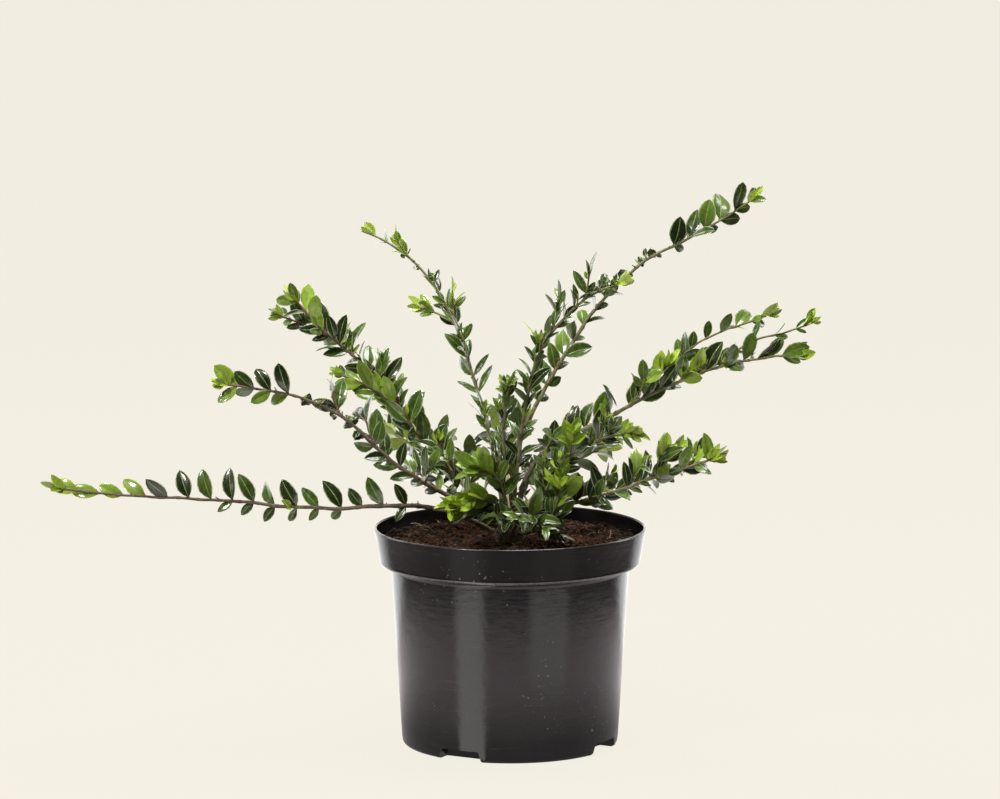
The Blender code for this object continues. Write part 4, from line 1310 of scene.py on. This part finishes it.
def meetsPot(leaf):
    # whether the blade touches the wall, the rim or the soil
    for share in (0.2, 0.5, 0.8, 1):
        point = leaf["root"] + (leaf["tip"] - leaf["root"]) * share
        radius = (point.x ** 2 + point.y ** 2) ** 0.5
        above = point.z > potSizes["height"] + keepOut["rimAbove"]
        if above or radius > potSizes["rim"] + keepOut["potGap"]:
            continue
        inside = insideRadius(min(point.z, potSizes["height"]))
        if radius > inside - keepOut["potGap"]:
            return True
        if point.z < soilTop(point.x, point.y) + keepOut["soilGap"]:
            return True
    return False


def isCrowded(leaf):
    return any((leaf["middle"] - place).length < keepOut["overlap"] * min(leaf["size"], size)
               for place, size in takenPlaces)


def placeLeaf(heap, leaf, kind, form, chance):
    centre, across, faces, roles = leafTemplates[form][chance.randrange(leafGrid["variants"])]
    points = (centre * leaf["size"] + across * leaf["width"]) @ leaf["turn"] + np.array(leaf["root"])
    slots = [leafSlots[paint] for paint in leafKinds[kind]]
    tone = chance.random()
    chosen = [slot[int(tone * len(slot))] for slot in slots]
    addTo(heap, points, faces, [chosen[role] for role in roles])
    takenPlaces.append((leaf["middle"], leaf["size"]))


def sideShoot(stem, twig, chance, radius=growth["twigRadius"], vigour=1, look=None, row=None):
    # a limb that leaves the stem along it; chance is where its leaves draw their random numbers
    share, heading, pitch, reach = twig
    startPitch = degrees(asin(alongAt(stem["path"], share).z))
    path = bentPath(between(stem["path"], share), (heading, heading), (startPitch, *pitch), reach)
    look = {**stem["look"], **(look or {})}
    return dict(
        row={**stem["row"], "thin": None, **(row or {})}, look=look, draws=chance, length=reach,
        path=wandered(path, reach, stem["seed"] + share), start=min(0.006, reach * 0.4) / reach,
        radius=radius, vigour=vigour, fresh=look["fresh"] * vigour, young=look["young"] * vigour)


def growShoots(number, name, chance, extra):
    # the stem, then the forks, sprigs, seeded twigs, inner twigs and buds on it
    row, look, length = stems[name], dress[name], stems[name]["length"]
    plainPath = stemPath(row)
    path = wandered(plainPath, length, number)
    stem = dict(
        row=row, look=look, draws=chance, length=length, path=path, start=row["bare"] + 0.004 / length,
        radius=row["radius"], vigour=1, fresh=look["fresh"], young=look["young"], seed=number)
    shoots = [stem]
    for i, twig in enumerate(row["forks"]):
        radius = max(growth["twigRadius"], 0.7 * stemRadius(row, twig[0]))
        forkLook = look["forks"][i] if look["forks"] else None
        shoots.append(sideShoot(stem, twig, chance, radius, look=forkLook))
    shoots += [sideShoot(stem, twig, chance, look=sprigLook) for twig in look["sprigs"]]
    for twig in spurTwigs(row, plainPath, chance):
        shoots.append(sideShoot(stem, twig, chance, vigour=extra.choice(look["vigour"])))
    for kind, twigs in ((innerKind, innerTwigs), (tuftKind, tuftTwigs)):
        for twig in twigs(row, path, look, extra):
            shoots.append(sideShoot(
                stem, twig, extra, kind["radius"], extra.choice(kind["vigour"]), kind["look"], kind["row"]))
    return shoots


def stubRadius(limb, share):
    return limb["radius"] * (1 - stubKind["taper"] * share)


def makeTwigs(number, name, shoots, chance):
    stem, skin = shoots[0], shoots[0]["look"]["skin"]
    bare, length = stem["row"]["bare"], stem["length"]
    wood = newWood()
    growTube(wood, stem, bare, 1 - 0.006 / length, growth["stemSides"], number, skin)
    for i, shoot in enumerate(shoots[1:]):
        growTube(wood, shoot, 0, 0.9, growth["twigSides"], number + i, skin)
    for _ in range(round(length * stubKind["perMetre"])):
        # bare remains of old side twigs
        share = chance.uniform(stubKind["span"][0] * bare, stubKind["span"][1])
        twig = (share, chance.uniform(0, 360), (chance.uniform(*stubKind["rise"]),) * 2,
                chance.uniform(*stubKind["length"]))
        stub = sideShoot(stem, twig, chance, growth["tipRadius"])
        growTube(wood, stub, 0, 1, growth["twigSides"], number, skin, stubRadius)
    makeWood("twigs_" + name, wood, "leaves_" + name)


def makeFoliage(name, shoots, chance):
    heap = newHeap()
    for shoot in shoots:
        # leaves too near the tip give way to its rosette
        choices = [choice for choice in leafPairs(shoot, shoot["draws"])
                   if choice["left"] > shoot["vigour"] * choice["size"] * pairShape["tipGap"]]
        for choice in choices + list(rosette(shoot, chance)):
            kind, form = leafLook(choice, shoot, chance)
            ruffle(choice, shoot, chance)
            for turn in keepOut["turns"]:
                leaf = setLeaf(shoot, choice, turn)
                if leaf["hangs"] and chance.random() > shoot["look"]["below"]:
                    break
                if not meetsPot(leaf) and not isCrowded(leaf):
                    placeLeaf(heap, leaf, kind, form, chance)
                    break
    own = "foliage_" + name
    makePiece(own, heapMesh(heap, own), "foliage", leafMaterials, "leaves_" + name)


def makeBough(number, name, row):
    path = wandered(stemPath(row), row["length"], number)
    limb = dict(path=path, length=row["length"], radius=row["radius"], row=row)
    wood = newWood()
    growTube(wood, limb, 0, row["bare"] + 0.001, growth["boughSides"], number, dress[name]["skin"])
    makeWood("wood_" + name, wood, "bough_" + name)


def makeFoot():
    shape = newWood()
    place = shape.verts.layers.float_vector.get("barkPlace")
    bmesh.ops.create_uvsphere(shape, u_segments=40, v_segments=24, radius=foot["radius"])
    for vert in shape.verts:
        bump = sum(noise.noise(vert.co * rate) * depth for rate, depth in (foot["knobs"], foot["grain"]))
        vert[place] = vert.co * 0.4
        vert.co *= foot["waist"] + bump
        vert.co += foot["centre"]
        vert.co.z = max(vert.co.z, soilSizes["edgeHeight"] - soilSizes["drop"] - foot["sink"])
    makeWood("stemFoot", shape, "foot")


makeFoot()
for number, (name, row) in enumerate(stems.items()):
    makeBough(number, name, row)
    chance, extra = Random(100 + number), Random(900 + number)
    shoots = growShoots(number, name, chance, extra)
    makeTwigs(number, name, shoots, extra)
    makeFoliage(name, shoots, extra)
print("plant grown:", len(takenPlaces), "leaves")
